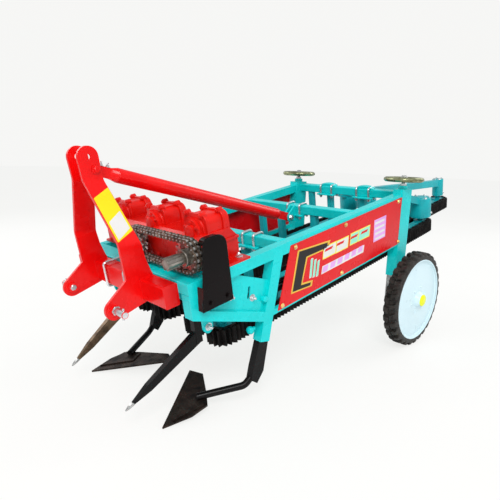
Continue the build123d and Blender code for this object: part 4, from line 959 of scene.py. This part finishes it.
piece("frame_welds", teal_welds, TEAL)
piece("hitch_welds", red_welds, HITCH_RED)

# Camera at the photograph's viewpoint
camera_data = bpy.data.cameras.new("photo_camera")
camera_data.sensor_width = 36.0
camera_data.lens = 32.15
camera_data.clip_start = 0.05
camera = bpy.data.objects.new("photo_camera", camera_data)
camera_place = Vector((1.3888, FRONT_Y - 0.7515, 0.8721))
camera_right = Vector((0.6905, 0.7226, 0.0308))
camera_up = Vector((-0.1647, 0.1156, 0.9796))
camera_back = Vector((0.7043, -0.6815, 0.1988))
turn = Matrix((camera_right, camera_up, camera_back)).transposed().to_4x4()
camera.matrix_world = Matrix.Translation(camera_place) @ turn
bpy.context.scene.collection.objects.link(camera)
bpy.context.scene.camera = camera


# Floor, sky and lamps
FLOOR_GLOW, FLOOR_HALF, FLOOR_DROP = 0.78, 30.0, 0.0005


def floor_material():
    """Pale floor. The camera sees it half lit of itself, so its far edge meets the white backdrop."""
    material, tree, shader = new_material("floor_white")
    tone = object_noise(tree, 1.5, 3.0)
    stops = [(0.3, (0.90, 0.90, 0.89)), (0.7, (0.94, 0.94, 0.93))]
    tree.links.new(ramp(tree, tone, stops), shader.inputs["Base Color"])
    shader.inputs["Roughness"].default_value = 0.9
    shader.inputs["Specular IOR Level"].default_value = 0.0
    glow = tree.nodes.new("ShaderNodeEmission")
    glow.inputs["Color"].default_value = (1.0, 1.0, 0.980, 1.0)
    glow.inputs["Strength"].default_value = 1.0
    path = tree.nodes.new("ShaderNodeLightPath")
    blend = tree.nodes.new("ShaderNodeMixShader")
    tree.links.new(times(tree, path.outputs["Is Camera Ray"], FLOOR_GLOW), blend.inputs[0])
    tree.links.new(shader.outputs[0], blend.inputs[1])
    tree.links.new(glow.outputs[0], blend.inputs[2])
    output = next(node for node in tree.nodes if node.type == "OUTPUT_MATERIAL")
    tree.links.new(blend.outputs[0], output.inputs[0])
    return material


floor_mesh = bpy.data.meshes.new("floor")
corners = rectangle(-FLOOR_HALF, -FLOOR_HALF, FLOOR_HALF, FLOOR_HALF)
floor_mesh.from_pydata([(x, y, 0) for x, y in corners], [], [(0, 1, 2, 3)])
floor = bpy.data.objects.new("floor", floor_mesh)
floor_mesh.materials.append(floor_material())
floor.location.z = -FLOOR_DROP
bpy.context.scene.collection.objects.link(floor)

world = bpy.data.worlds.new("studio")
bpy.context.scene.world = world
world.use_nodes = True
world_tree = world.node_tree
world_tree.nodes.clear()
world_output = world_tree.nodes.new("ShaderNodeOutputWorld")
path = world_tree.nodes.new("ShaderNodeLightPath")
blend = world_tree.nodes.new("ShaderNodeMixShader")
world_tree.links.new(path.outputs["Is Camera Ray"], blend.inputs[0])
world_tree.links.new(blend.outputs[0], world_output.inputs[0])
# The sky that lights the part, and the backdrop that the camera sees
skies = (((0.95, 0.97, 1.0, 1.0), 0.62), ((0.925, 0.925, 0.912, 1.0), 1.0))
for place, (colour, strength) in enumerate(skies):
    sky = world_tree.nodes.new("ShaderNodeBackground")
    sky.inputs["Color"].default_value = colour
    sky.inputs["Strength"].default_value = strength
    world_tree.links.new(sky.outputs[0], blend.inputs[1 + place])


LAMP_TARGET = Vector((0, 0, 0.4))


def lamp(name, place, size, power):
    data = bpy.data.lights.new(name, "AREA")
    data.shape = "DISK"
    data.size = size
    data.energy = power
    obj = bpy.data.objects.new(name, data)
    obj.location = place
    obj.rotation_euler = (LAMP_TARGET - Vector(place)).to_track_quat("-Z", "Y").to_euler()
    bpy.context.scene.collection.objects.link(obj)


lamp("key_lamp", (3.2, -3.4, 4.2), 2.6, 175)
lamp("fill_lamp", (-4.0, -1.5, 2.6), 3.0, 45)
lamp("rear_lamp", (1.5, 4.2, 3.4), 2.6, 70)
bpy.context.scene.view_settings.view_transform = "Standard"
